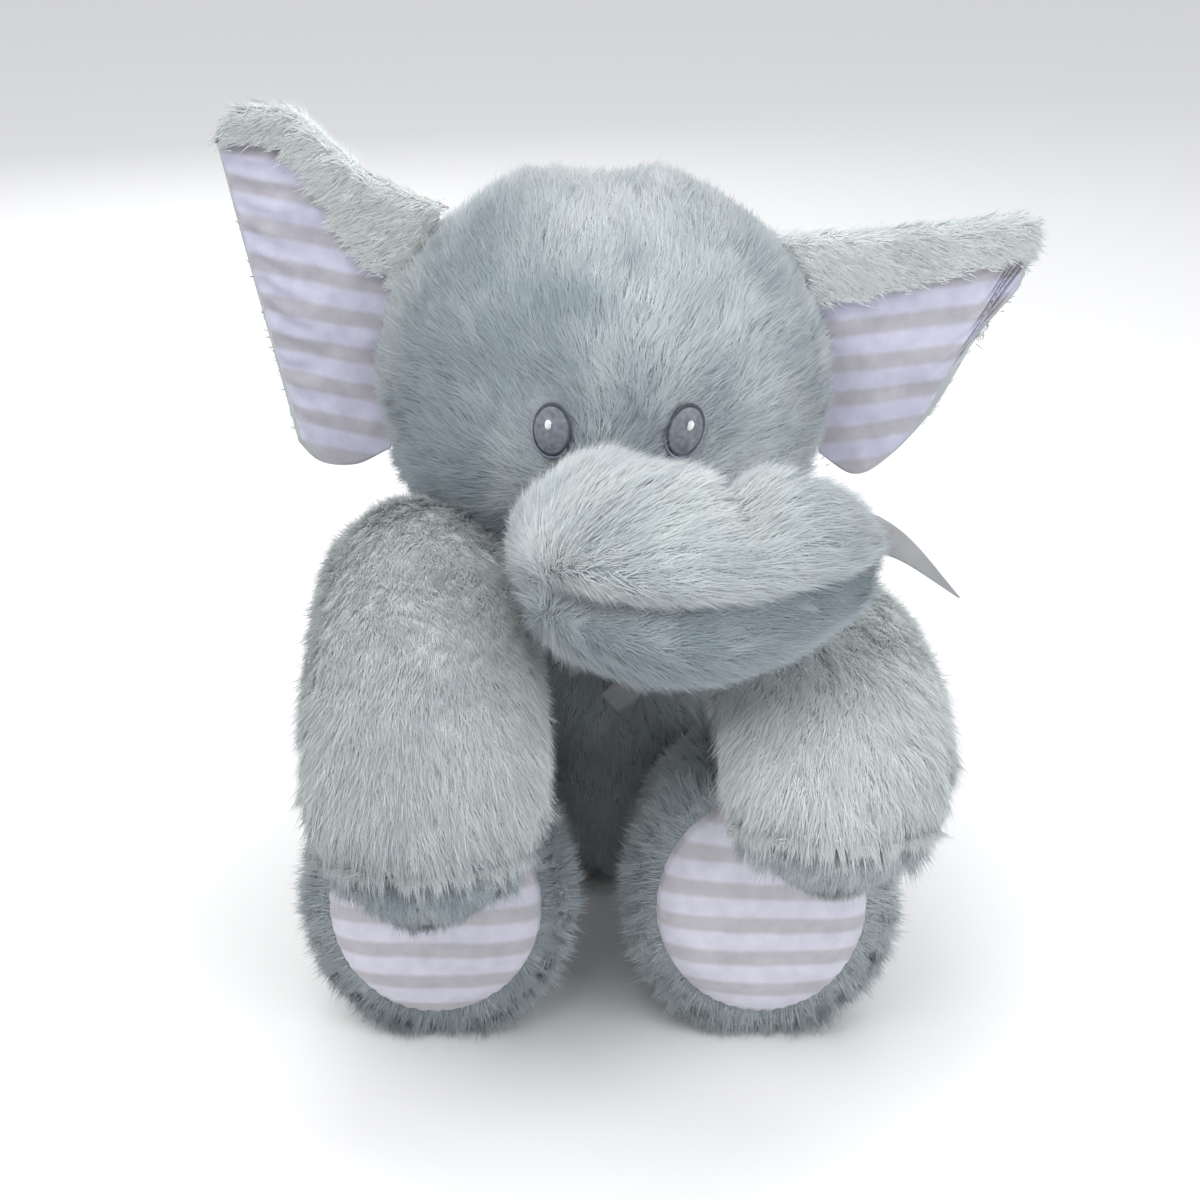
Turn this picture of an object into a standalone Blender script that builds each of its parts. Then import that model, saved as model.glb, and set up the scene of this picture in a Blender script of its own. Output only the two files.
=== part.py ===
"""Seated plush elephant: sewn covers, stuffing, striped linings and soles, and a satin neck ribbon.

Frame: +Z up, the face looks towards -Y, the seat rests on z = 0 and the origin is on the flat seat.
Metres throughout.
"""
import math

import bmesh
import bpy
import numpy as np
from mathutils import Matrix, Vector

# ---------------------------------------------------------------- driving dimensions
COVER = 0.0020          # cover fabric with its backing
GAP = 0.0004            # clearance between touching pieces
FILL_IN = 0.0062        # stuffing surface below the outside of its cover
HEAD_C = Vector((0.0, 0.0, 0.225))
HEAD_R = Vector((0.0925, 0.088, 0.088))
GUSSET = 0.28           # half width of the crown gusset, as a share of the head's half width
TORSO_C = Vector((0.0, 0.022, 0.060))
TORSO_R = Vector((0.078, 0.066, 0.0735))
NECK = Vector((0.0, 0.012, 0.136))
BAND_R = 0.038
BAND_Z = (0.1252, 0.1368)
BAND_SLOPE = 0.218      # the band rises towards the back of the neck
RIBBON_W = 0.0205
RIBBON_T = 0.0008
EAR_T = 0.0040
LINING_T = 0.0020
FOLD_R = 0.0080
EYE = Vector((0.0073, 0.0012, 0.0103))

# spine stations: point, half width across, half thickness
TRUNK = (
    ((-0.002, -0.0925, 0.190), 0.034, 0.035),
    ((-0.001, -0.1220, 0.198), 0.036, 0.039),
    ((0.004, -0.1600, 0.205), 0.037, 0.041),
    ((0.030, -0.1840, 0.209), 0.035, 0.041),
    ((0.062, -0.1790, 0.213), 0.032, 0.035),
    ((0.086, -0.1520, 0.213), 0.030, 0.031),
)
ARM_R = (
    ((0.066, -0.012, 0.118), 0.028, 0.022),
    ((0.078, -0.055, 0.138), 0.038, 0.025),
    ((0.080, -0.105, 0.1475), 0.041, 0.0245),
    ((0.080, -0.155, 0.1455), 0.042, 0.0255),
    ((0.079, -0.1905, 0.127), 0.042, 0.0270),
    ((0.078, -0.2030, 0.097), 0.037, 0.0240),
)
ARM_L = (
    ((-0.068, -0.010, 0.130), 0.027, 0.0235),
    ((-0.079, -0.047, 0.152), 0.0335, 0.0275),
    ((-0.070, -0.102, 0.152), 0.043, 0.0265),
    ((-0.065, -0.155, 0.1440), 0.044, 0.0255),
    ((-0.063, -0.191, 0.118), 0.044, 0.0270),
    ((-0.062, -0.204, 0.083), 0.039, 0.0240),
)
LEG_R = (
    ((0.050, -0.032, 0.046), 0.032, 0.036),
    ((0.054, -0.065, 0.051), 0.041, 0.045),
    ((0.058, -0.105, 0.056), 0.048, 0.054),
    ((0.059, -0.135, 0.058), 0.0525, 0.0605),
    ((0.059, -0.151, 0.058), 0.0525, 0.0605),
)
LEG_L = (
    ((-0.051, -0.032, 0.046), 0.032, 0.036),
    ((-0.057, -0.065, 0.051), 0.041, 0.045),
    ((-0.062, -0.105, 0.056), 0.048, 0.054),
    ((-0.064, -0.135, 0.058), 0.0530, 0.0605),
    ((-0.064, -0.151, 0.058), 0.0530, 0.0605),
)
TAIL = (
    ((0.0, 0.0888, 0.050), 0.0070, 0.0070),
    ((0.0, 0.1005, 0.043), 0.0075, 0.0075),
    ((0.0, 0.1100, 0.030), 0.0080, 0.0080),
    ((0.0, 0.1150, 0.014), 0.0095, 0.0095),
)

# ear outlines in the frontal plane: x and z of the upper edge and of the lower edge, root to tip
EAR_L_TOP = ((-0.0665, 0.290), (-0.0915, 0.300), (-0.1067, 0.315), (-0.1226, 0.330), (-0.143, 0.333), (-0.156, 0.322))
EAR_L_LOW = ((-0.0900, 0.190), (-0.105, 0.182), (-0.119, 0.182), (-0.128, 0.190))
EAR_R_TOP = ((0.068, 0.279), (0.0965, 0.281), (0.1155, 0.281), (0.160, 0.286), (0.172, 0.283), (0.1755, 0.273))
EAR_R_LOW = ((0.0900, 0.188), (0.105, 0.178), (0.118, 0.184), (0.133, 0.201), (0.150, 0.232), (0.170, 0.256))

# joint axes: point and direction
PIVOTS = {
    "head": NECK,
    "trunk": Vector((0.0, -0.094, 0.190)),
    "ear_left": Vector((0.0825, 0.010, 0.235)),
    "ear_right": Vector((-0.0825, 0.010, 0.235)),
    "arm_left": Vector((0.064, -0.016, 0.120)),
    "arm_right": Vector((-0.064, -0.016, 0.120)),
    "leg_left": Vector((0.050, -0.040, 0.046)),
    "leg_right": Vector((-0.051, -0.040, 0.046)),
    "tail": Vector((0.0, 0.0888, 0.050)),
}

PLUSH = (0.53, 0.57, 0.58, 1.0)
PLUSH_LIGHT = (0.62, 0.65, 0.65, 1.0)
PLUSH_DARK = (0.47, 0.51, 0.53, 1.0)
VELOUR = (0.80, 0.78, 0.84, 1.0)
SATIN = (0.52, 0.54, 0.57, 1.0)
THREAD = (0.16, 0.18, 0.22, 1.0)
WHITE = (0.88, 0.88, 0.90, 1.0)
FILL = (0.90, 0.90, 0.88, 1.0)
PELLET = (0.80, 0.79, 0.74, 1.0)


# ---------------------------------------------------------------- scene
for old in list(bpy.data.objects):
    bpy.data.objects.remove(old, do_unlink=True)

toy = bpy.data.collections.new("stuffed_elephant")
bpy.context.scene.collection.children.link(toy)

pivot_empties = {}
for body, where in PIVOTS.items():
    e = bpy.data.objects.new("pivot_" + body, None)
    e.empty_display_size = 0.02
    e.location = where
    toy.objects.link(e)
    pivot_empties[body] = e
for body in ("trunk", "ear_left", "ear_right"):
    pivot_empties[body].parent = pivot_empties["head"]
    pivot_empties[body].location = PIVOTS[body] - PIVOTS["head"]


def material(name, color, rough, sheen=0.0):
    m = bpy.data.materials.new(name)
    m.use_nodes = True
    b = m.node_tree.nodes["Principled BSDF"]
    b.inputs["Base Color"].default_value = color
    b.inputs["Roughness"].default_value = rough
    b.inputs["Metallic"].default_value = 0.0
    b.inputs["Sheen Weight"].default_value = sheen
    m.diffuse_color = color
    return m


def add(name, bm, color, rough=0.9, body=None, shell=0.0, sheen=0.3):
    """Link a mesh as a named piece; shell > 0 thickens an open surface inwards by that much."""
    off = PIVOTS[body] if body else Vector((0, 0, 0))
    bmesh.ops.translate(bm, verts=bm.verts[:], vec=-off)
    me = bpy.data.meshes.new(name)
    bm.to_mesh(me)
    bm.free()
    me.shade_smooth()
    ob = bpy.data.objects.new(name, me)
    toy.objects.link(ob)
    if body:
        ob.parent = pivot_empties[body]
    me.materials.append(material(name, color, rough, sheen))
    if shell:
        s = ob.modifiers.new("Thickness", "SOLIDIFY")
        s.thickness = shell
        s.offset = -1.0
        s.use_even_offset = False
        s.use_rim = True
    return ob


def ball(seg, rings, cuts=(), closed=False):
    """Unit sphere cut by planes (normal, distance); the side the normals point to is kept."""
    bm = bmesh.new()
    bmesh.ops.create_uvsphere(bm, u_segments=seg, v_segments=rings, radius=1.0)
    for n, d in cuts:
        n = Vector(n).normalized()
        geom = bm.verts[:] + bm.edges[:] + bm.faces[:]
        bmesh.ops.bisect_plane(bm, geom=geom, dist=1e-5, plane_co=n * d, plane_no=n, clear_inner=True)
        if closed:
            rim = [e for e in bm.edges if e.is_boundary]
            bmesh.ops.holes_fill(bm, edges=rim, sides=0)
    return bm


def move(bm, fn):
    for v in bm.verts:
        v.co = fn(v.co.copy())
    bmesh.ops.recalc_face_normals(bm, faces=bm.faces[:])
    # an open panel has no inside of its own, so it is turned to face away from its middle
    mean = sum((v.co for v in bm.verts), Vector()) / len(bm.verts)
    if sum(f.normal.dot(f.calc_center_median() - mean) * f.calc_area() for f in bm.faces) < 0:
        bmesh.ops.reverse_faces(bm, faces=bm.faces[:])
    return bm


def finish_closed(bm):
    bmesh.ops.recalc_face_normals(bm, faces=bm.faces[:])
    return bm


def ellipsoid(c, r, inset=0.0, floor=None):
    def fn(p):
        q = Vector((c.x + p.x * (r.x - inset), c.y + p.y * (r.y - inset), c.z + p.z * (r.z - inset)))
        if floor is not None and q.z < floor + 0.001:
            q.z = floor
        return q
    return fn


def catmull(values, s):
    """Smooth value at s in 0..1 through evenly weighted stations."""
    n = len(values) - 1
    x = min(max(s, 0.0), 1.0) * n
    i = min(int(x), n - 1)
    t = x - i
    p1, p2 = values[i], values[i + 1]
    p0 = values[i - 1] if i > 0 else p1 * 2 - p2
    p3 = values[i + 2] if i + 2 <= n else p2 * 2 - p1
    return 0.5 * ((p1 * 2) + (p2 - p0) * t + (p0 * 2 - p1 * 5 + p2 * 4 - p3) * t * t
                  + (p1 * 3 - p0 - p2 * 3 + p3) * t * t * t)


def limb(stations, ref, inset=0.0, blunt=3.0, floor=None):
    """Map a unit sphere to a stuffed tube: its poles go to the two ends of the spine, its rings round it."""
    pts = [Vector(s[0]) for s in stations]
    wid = [s[1] for s in stations]
    thk = [s[2] for s in stations]
    length = sum((pts[i + 1] - pts[i]).length for i in range(len(pts) - 1))
    ref = Vector(ref)

    def fn(p):
        c = max(-1.0, min(1.0, p.z))
        phi = math.acos(c)
        t = phi / math.pi
        s = 0.45 * (1 - math.cos(math.pi * t)) / 2 + 0.55 * t
        x = abs(2 * s - 1)
        prof = max(0.0, 1 - x ** blunt) ** 0.5
        s = s + (0.5 - s) * 3.2 * inset / length
        ring = math.sqrt(max(0.0, p.x * p.x + p.y * p.y))
        if ring > 1e-9:
            a, b = p.x / ring, p.y / ring
        else:
            a, b = 0.0, 0.0
        q = catmull(pts, s)
        tan = (catmull(pts, min(1.0, s + 0.01)) - catmull(pts, max(0.0, s - 0.01))).normalized()
        w = (ref - tan * ref.dot(tan)).normalized()
        n = tan.cross(w)
        hw = max(0.0, catmull(wid, s) - inset) * prof
        ht = max(0.0, catmull(thk, s) - inset) * prof
        q = q + w * (a * hw) + n * (b * ht)
        if floor is not None:
            q.z = max(q.z, floor)
        return q
    return fn


HALF_SEAM = 0.00048      # half gap left along a seam


def seam(radius):
    """Half seam gap as a share of the form's radius across the seam."""
    return HALF_SEAM / radius

# ---------------------------------------------------------------- torso
torso = ellipsoid(TORSO_C, TORSO_R, floor=0.0)
torso_in = ellipsoid(TORSO_C, TORSO_R, inset=FILL_IN, floor=COVER + GAP)
FRONT = 0.12
add("torso_front_panel", move(ball(16, 10, [((0, -1, 0), -FRONT)]), torso), PLUSH, shell=COVER)
add("torso_back_panel_left", move(ball(16, 10, [((0, 1, 0), FRONT + 2 * seam(TORSO_R.y)), ((1, 0, 0), seam(TORSO_R.x))]), torso), PLUSH, shell=COVER)
add("torso_back_panel_right", move(ball(16, 10, [((0, 1, 0), FRONT + 2 * seam(TORSO_R.y)), ((-1, 0, 0), seam(TORSO_R.x))]), torso), PLUSH, shell=COVER)
add("torso_stuffing", finish_closed(move(ball(14, 8, [((0, 0, 1), -0.48)], closed=True), torso_in)), FILL, 1.0)
add("pellet_bag", finish_closed(move(ball(14, 8, [((0, 0, -1), 0.50)], closed=True), torso_in)), PELLET, 0.8)

# ---------------------------------------------------------------- head
head = ellipsoid(HEAD_C, HEAD_R)
head_in = ellipsoid(HEAD_C, HEAD_R, inset=FILL_IN)
add("head_panel_left", move(ball(18, 12, [((1, 0, 0), GUSSET + 2 * seam(HEAD_R.x))]), head), PLUSH_DARK, body="head", shell=COVER)
add("head_panel_right", move(ball(18, 12, [((-1, 0, 0), GUSSET + 2 * seam(HEAD_R.x))]), head), PLUSH_DARK, body="head", shell=COVER)
# the gusset stops short under the neck, where the neck opening is
add("head_gusset", move(ball(18, 12, [((1, 0, 0), -GUSSET), ((-1, 0, 0), -GUSSET), ((0, 0.30, 1), -0.93)]), head),
    PLUSH_LIGHT, body="head", shell=COVER)
add("head_stuffing", finish_closed(move(ball(14, 8), head_in)), FILL, 1.0, body="head")

# eyes: padded satin-stitch ovals with a small highlight
def head_point(x, z, lift):
    dx, dz = x / HEAD_R.x, (z - HEAD_C.z) / HEAD_R.z
    y = -HEAD_R.y * math.sqrt(max(0.0, 1 - dx * dx - dz * dz))
    p = Vector((x, y, z))
    n = Vector((x / HEAD_R.x ** 2, y / HEAD_R.y ** 2, (z - HEAD_C.z) / HEAD_R.z ** 2)).normalized()
    return p + n * lift, n


def disc_on_head(name, x, z, r, lift, color, tilt=0.0, seg=16, rings=8):
    p, n = head_point(x, z, lift)
    up = (Vector((math.sin(tilt), 0, math.cos(tilt))) - n * n.dot(Vector((math.sin(tilt), 0, math.cos(tilt))))).normalized()
    side = up.cross(n)

    def fn(q):
        return p + side * (q.x * r.x) + n * (q.y * r.y) + up * (q.z * r.z)
    return add(name, finish_closed(move(ball(seg, rings), fn)), color, 0.45, body="head", sheen=0.0)


EYE_Z = 0.2275
disc_on_head("eye_right", -0.0200, EYE_Z, EYE, 0.0024, THREAD, tilt=0.04)
disc_on_head("eye_left", 0.0300, EYE_Z + 0.0008, EYE, 0.0024, THREAD, tilt=0.22)
disc_on_head("eye_right_highlight", -0.0210, EYE_Z + 0.0026, Vector((0.0017, 0.0005, 0.0019)), 0.0046, WHITE, seg=10, rings=6)
disc_on_head("eye_left_highlight", 0.0308, EYE_Z + 0.0034, Vector((0.0017, 0.0005, 0.0019)), 0.0046, WHITE, seg=10, rings=6)

# ---------------------------------------------------------------- trunk

trunk = limb([(p, b, a) for p, a, b in TRUNK], (0, 0, 1), blunt=3.2)
trunk_in = limb([(p, b, a) for p, a, b in TRUNK], (0, 0, 1), inset=FILL_IN, blunt=3.2)
UNDER = -0.06
add("trunk_upper_panel", move(ball(14, 13, [((1, 0, 0), UNDER + seam(0.024))]), trunk), PLUSH_LIGHT, body="trunk", shell=COVER)
add("trunk_under_panel", move(ball(14, 13, [((-1, 0, 0), -UNDER + seam(0.024))]), trunk), PLUSH, body="trunk", shell=COVER)
add("trunk_stuffing", finish_closed(move(ball(12, 10), trunk_in)), FILL, 1.0, body="trunk")

# ---------------------------------------------------------------- arms
for side, stations, tone in (("left", ARM_R, PLUSH_LIGHT), ("right", ARM_L, PLUSH_LIGHT)):
    arm = limb(stations, (1, 0, 0), blunt=3.0)
    arm_in = limb(stations, (1, 0, 0), inset=FILL_IN, blunt=3.0)
    body = "arm_" + side
    # +y on the sphere is the upper face of the arm and then the back of the paw
    up = arm(Vector((0, 1, 0)) * 0.999).z > arm(Vector((0, -1, 0)) * 0.999).z
    sgn = 1.0 if up else -1.0
    add("arm_%s_upper_panel" % side, move(ball(14, 12, [((0, sgn, 0), -0.25 + seam(0.017))]), arm), tone, body=body, shell=COVER)
    add("arm_%s_palm_panel" % side, move(ball(14, 12, [((0, -sgn, 0), 0.25 + seam(0.017))]), arm), PLUSH, body=body, shell=COVER)
    add("arm_%s_stuffing" % side, finish_closed(move(ball(10, 9), arm_in)), FILL, 1.0, body=body)

# ---------------------------------------------------------------- legs
SOLE = -0.93
for side, stations in (("left", LEG_R), ("right", LEG_L)):
    leg = limb(stations, (1, 0, 0), blunt=5.0, floor=0.0)
    leg_in = limb(stations, (1, 0, 0), inset=FILL_IN, blunt=5.0, floor=COVER + GAP)
    body = "leg_" + side
    up = leg(Vector((0, 1, 0)) * 0.999).z > leg(Vector((0, -1, 0)) * 0.999).z
    sgn = 1.0 if up else -1.0
    add("leg_%s_upper_panel" % side, move(ball(16, 12, [((0, sgn, 0), seam(0.038)), ((0, 0, 1), SOLE + 0.010)]), leg), PLUSH, body=body, shell=COVER)
    add("leg_%s_lower_panel" % side, move(ball(16, 12, [((0, -sgn, 0), seam(0.038)), ((0, 0, 1), SOLE + 0.010)]), leg), PLUSH, body=body, shell=COVER)
    add("leg_%s_sole" % side, move(ball(16, 14, [((0, 0, -1), -SOLE + 0.010)]), leg), VELOUR, 0.8, body=body, shell=COVER)
    add("leg_%s_stuffing" % side, finish_closed(move(ball(12, 9), leg_in)), FILL, 1.0, body=body)

# ---------------------------------------------------------------- ears
def polyline(pts, u):
    vals = [Vector((p[0], p[1], 0.0)) for p in pts]
    return catmull(vals, u)


def ear_surface(top, low, fold_root, fold_tip, ybase, cup, sweep):
    """Ear sheet from its root on the head out to its tip; above v = 1 the upper edge rolls over to the front."""
    sign = 1.0 if top[-1][0] > 0 else -1.0

    def frame(u):
        a, b = polyline(low, u), polyline(top, u)
        return a, b

    def plane(u, v):
        a, b = frame(u)
        q = a.lerp(b, v)
        deep = cup * min(1.0, (b - a).length / 0.095) ** 2
        y = ybase + sweep * u - deep * math.sin(math.pi * min(1.0, max(0.0, v))) * math.sin(math.pi * (0.15 + 0.85 * u) * 0.55)
        return Vector((q.x, y, q.y))

    def short_of_head(q):
        """How far a point of the ear has to go outwards to stay off the head."""
        left = 1 - ((q.z - HEAD_C.z) / HEAD_R.z) ** 2 - ((q.y - HEAD_C.y) / HEAD_R.y) ** 2
        return max(0.0, HEAD_R.x * math.sqrt(left) + 0.0040 - abs(q.x)) if left > 0 else 0.0

    def raw(u, v):
        if v <= 1.0:
            return plane(u, v)
        # roll: half turn of radius FOLD_R, then the free strip on the front
        d = plane(u, 0.92) - plane(u, 1.0)
        d.normalize()
        f = Vector((0, -1, 0))
        e = plane(u, 1.0)
        strip = fold_root + (fold_tip - fold_root) * u
        if v <= 2.0:
            t = (v - 1.0) * math.pi
            return e - d * (math.sin(t) * FOLD_R) + f * ((1 - math.cos(t)) * FOLD_R)
        return e + f * (2 * FOLD_R) + d * ((v - 2.0) * strip)

    def fn(u, v):
        """The root follows the head's side and the rest eases back to its own line."""
        q = raw(u, v)
        q.x += sign * short_of_head(raw(0.0, v)) * (1 - u) ** 1.5
        q.x += sign * short_of_head(q)
        return q
    return fn


def sheet(nu, vs, fn, offset=0.0):
    """Grid primitive laid on fn(u, v); offset moves it along its own normal."""
    bm = bmesh.new()
    nv = len(vs) - 1
    bmesh.ops.create_grid(bm, x_segments=nu, y_segments=nv, size=0.5)
    for vert in bm.verts:
        i = int(round((vert.co.x + 0.5) * nu))
        j = int(round((vert.co.y + 0.5) * nv))
        vert.co = fn(i / nu, vs[j])
    if offset:
        bm.normal_update()
        mv = [(v, v.normal * offset) for v in bm.verts]
        for v, d in mv:
            v.co += d
    return bm


def facing_front(bm, want=-1.0):
    """Point the sheet's normals so that their sum faces -Y (want -1) or +Y (want 1)."""
    bm.normal_update()
    total = sum((f.normal.y * f.calc_area() for f in bm.faces))
    if total * want < 0:
        bmesh.ops.reverse_faces(bm, faces=bm.faces[:])
    bm.normal_update()
    return bm


MAIN_V = [0.0, 0.25, 0.5, 0.75, 1.0]
ROLL_V = [1.25, 1.5, 1.75, 2.0, 3.0]
for side, top, low, fr, ft in (("left", EAR_R_TOP, EAR_R_LOW, 0.024, 0.008), ("right", EAR_L_TOP, EAR_L_LOW, 0.036, 0.010)):
    surf = ear_surface(top, low, fr, ft, ybase=0.014, cup=0.0030, sweep=0.010)
    body = "ear_" + side
    back = sheet(7, MAIN_V + ROLL_V, surf)
    # normals of the main sheet face the back, so the thickness grows towards the front
    back.normal_update()
    ref = sum((f.normal.y for f in back.faces if f.calc_center_median().y > 0.008))
    if ref < 0:
        bmesh.ops.reverse_faces(back, faces=back.faces[:])
    add("ear_%s_back_panel" % side, back, PLUSH, body=body, shell=EAR_T)

    def lining(u, v, surf=surf):
        return surf(0.965 * u, v) + Vector((0, -(EAR_T + 6 * GAP), 0))
    front = sheet(7, [0.0, 0.25, 0.5, 0.7, 0.88], lining)
    front = facing_front(front, 1.0)
    add("ear_%s_lining" % side, front, VELOUR, 0.8, body=body, shell=LINING_T)

# ---------------------------------------------------------------- tail
tail = limb(TAIL, (1, 0, 0), blunt=3.0)
add("tail", finish_closed(move(ball(10, 10), tail)), PLUSH, body="tail")

# ---------------------------------------------------------------- ribbon
band = bmesh.new()
bmesh.ops.create_cone(band, cap_ends=False, segments=28, radius1=BAND_R, radius2=BAND_R, depth=BAND_Z[1] - BAND_Z[0])
for v in band.verts:
    v.co.z += v.co.y * BAND_SLOPE
bmesh.ops.translate(band, verts=band.verts[:], vec=(0, NECK.y, (BAND_Z[0] + BAND_Z[1]) / 2))
add("ribbon_neck_band", band, SATIN, 0.35, shell=RIBBON_T, sheen=0.0)

KNOT = Vector((0.0235, -0.0300, 0.1225))
knot = finish_closed(move(ball(12, 8), ellipsoid(KNOT, Vector((0.0070, 0.0050, 0.0065)))))
add("ribbon_knot", knot, SATIN, 0.35, sheen=0.0)


def strip(name, stations, width, seg=3, steps=14):
    """Ribbon strip along its stations: point and width direction."""
    pts = [Vector(s[0]) for s in stations]
    dirs = [Vector(s[1]) for s in stations]

    def fn(u, v):
        q = catmull(pts, u)
        w = catmull(dirs, u).normalized()
        return q + w * ((v - 0.5) * width)
    bm = sheet(steps, [i / seg for i in range(seg + 1)], fn)
    bmesh.ops.recalc_face_normals(bm, faces=bm.faces[:])
    return add(name, bm, SATIN, 0.35, shell=RIBBON_T, sheen=0.0)


strip("ribbon_tail_left", (
    ((0.0335, -0.0385, 0.1300), (0.2, -0.75, 0.25)),
    ((0.0520, -0.0510, 0.1590), (0.0, -1.0, 0.5)),
    ((0.0740, -0.0510, 0.1720), (0.0, -0.8, 0.6)),
    ((0.0960, -0.0500, 0.1750), (0.15, -0.2, 1.0)),
    ((0.1150, -0.0470, 0.1660), (0.30, -0.1, 1.0)),
    ((0.1380, -0.0450, 0.1420), (0.55, -0.1, 0.75)),
), RIBBON_W)
strip("ribbon_tail_right", (
    ((0.0170, -0.0400, 0.1110), (0.8, -0.2, 0.2)),
    ((0.0100, -0.0450, 0.1050), (0.9, -0.1, 0.2)),
    ((0.0040, -0.0475, 0.0985), (1.0, 0.0, 0.1)),
    ((0.0000, -0.0485, 0.0910), (1.0, 0.0, 0.0)),
), RIBBON_W * 0.9)


def loop(name, far, drop, n=16):
    """Flattened bow loop: a closed strip that leaves the knot and comes back to it."""
    away = far.normalized()
    out = Vector((0, -1, 0))
    up = Vector((0, 0, 1))
    bm = bmesh.new()
    bmesh.ops.create_cone(bm, cap_ends=False, segments=n, radius1=1.0, radius2=1.0, depth=1.0)
    length = far.length
    for v in bm.verts:
        ang = math.atan2(v.co.y, v.co.x)
        reach = 0.5 - 0.5 * math.cos(ang)
        half = 0.0042 * math.sin(ang)
        wide = 0.0055 + 0.0035 * reach
        v.co = KNOT + away * (0.0085 + length * reach) + out * (half + 0.001) + up * (v.co.z * 2 * wide - drop * reach * reach)
    bmesh.ops.recalc_face_normals(bm, faces=bm.faces[:])
    return add(name, bm, SATIN, 0.35, shell=RIBBON_T, sheen=0.0)


loop("ribbon_loop_right", Vector((-0.030, -0.012, 0.0)), 0.004)
loop("ribbon_loop_left", Vector((0.004, -0.030, -0.004)), 0.004)
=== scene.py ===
import math

import bpy
import numpy as np
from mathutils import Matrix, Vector


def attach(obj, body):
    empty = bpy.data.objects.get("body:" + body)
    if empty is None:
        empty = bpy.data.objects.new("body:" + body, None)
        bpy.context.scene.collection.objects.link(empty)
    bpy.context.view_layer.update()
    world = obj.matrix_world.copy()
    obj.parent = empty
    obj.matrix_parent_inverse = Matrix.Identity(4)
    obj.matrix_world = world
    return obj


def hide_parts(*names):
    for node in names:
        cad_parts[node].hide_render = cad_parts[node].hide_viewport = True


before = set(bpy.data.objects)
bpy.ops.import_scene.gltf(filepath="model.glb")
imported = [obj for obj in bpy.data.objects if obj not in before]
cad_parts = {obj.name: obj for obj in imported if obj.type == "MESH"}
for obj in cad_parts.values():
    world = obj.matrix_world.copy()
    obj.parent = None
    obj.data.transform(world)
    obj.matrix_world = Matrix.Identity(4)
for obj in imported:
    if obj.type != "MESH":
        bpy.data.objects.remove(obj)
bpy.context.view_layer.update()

RNG = np.random.default_rng(20261118)

# ------------------------------------------------------------------ the frame's own numbers
# Stations and centres repeat the design's, in metres; every limb keeps its place in the CAD frame.
HEAD_C, HEAD_R = np.array([0.0, 0.0, 0.225]), np.array([0.0925, 0.088, 0.088])
TORSO_C, TORSO_R = np.array([0.0, 0.022, 0.060]), np.array([0.078, 0.066, 0.0735])
NECK = (0.0, 0.012, 0.136)
FOLD_R, EAR_T = 0.0060, 0.0040
INSET = 0.0030          # the woven backing lies this far under the pile's outer surface

TRUNK = (
    ((-0.002, -0.0925, 0.190), 0.035, 0.034),
    ((-0.001, -0.1220, 0.198), 0.039, 0.036),
    ((0.004, -0.1600, 0.205), 0.041, 0.037),
    ((0.030, -0.1840, 0.209), 0.041, 0.035),
    ((0.062, -0.1790, 0.213), 0.035, 0.032),
    ((0.086, -0.1520, 0.213), 0.031, 0.030),
)
ARMS = {
    "left": (
        ((0.066, -0.012, 0.118), 0.028, 0.022),
        ((0.078, -0.055, 0.138), 0.038, 0.025),
        ((0.080, -0.105, 0.1475), 0.041, 0.0245),
        ((0.080, -0.155, 0.1455), 0.042, 0.0255),
        ((0.079, -0.1905, 0.127), 0.042, 0.0270),
        ((0.078, -0.2030, 0.097), 0.037, 0.0240),
    ),
    "right": (
        ((-0.066, -0.010, 0.136), 0.029, 0.0260),
        ((-0.074, -0.045, 0.158), 0.035, 0.0320),
        ((-0.070, -0.100, 0.156), 0.042, 0.0300),
        ((-0.065, -0.155, 0.1450), 0.044, 0.0262),
        ((-0.063, -0.1910, 0.118), 0.044, 0.0270),
        ((-0.062, -0.2040, 0.083), 0.039, 0.0240),
    ),
}
LEGS = {
    "left": (
        ((0.050, -0.032, 0.046), 0.032, 0.036),
        ((0.054, -0.065, 0.051), 0.041, 0.045),
        ((0.058, -0.105, 0.056), 0.048, 0.054),
        ((0.059, -0.135, 0.058), 0.0525, 0.0605),
        ((0.059, -0.151, 0.058), 0.0525, 0.0605),
    ),
    "right": (
        ((-0.051, -0.032, 0.046), 0.032, 0.036),
        ((-0.057, -0.065, 0.051), 0.041, 0.045),
        ((-0.062, -0.105, 0.056), 0.048, 0.054),
        ((-0.064, -0.135, 0.058), 0.0530, 0.0605),
        ((-0.064, -0.151, 0.058), 0.0530, 0.0605),
    ),
}
TAIL = (
    ((0.0, 0.0888, 0.050), 0.0070, 0.0070),
    ((0.0, 0.1005, 0.043), 0.0075, 0.0075),
    ((0.0, 0.1100, 0.030), 0.0080, 0.0080),
    ((0.0, 0.1150, 0.014), 0.0095, 0.0095),
)
EARS = {
    "left": dict(
        top=((0.068, 0.277), (0.0965, 0.278), (0.1155, 0.278), (0.160, 0.283), (0.172, 0.281), (0.1755, 0.273)),
        low=((0.0900, 0.188), (0.105, 0.178), (0.118, 0.184), (0.133, 0.201), (0.150, 0.232), (0.170, 0.256)),
        fold=(0.024, 0.008)),
    "right": dict(
        top=((-0.0665, 0.290), (-0.0915, 0.299), (-0.1067, 0.312), (-0.1226, 0.325), (-0.143, 0.327), (-0.156, 0.317)),
        low=((-0.0900, 0.190), (-0.105, 0.182), (-0.119, 0.182), (-0.128, 0.190)),
        fold=(0.030, 0.002)),
}


# ------------------------------------------------------------------ small numeric tools
TABLE = RNG.random((32, 32, 32))


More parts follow.
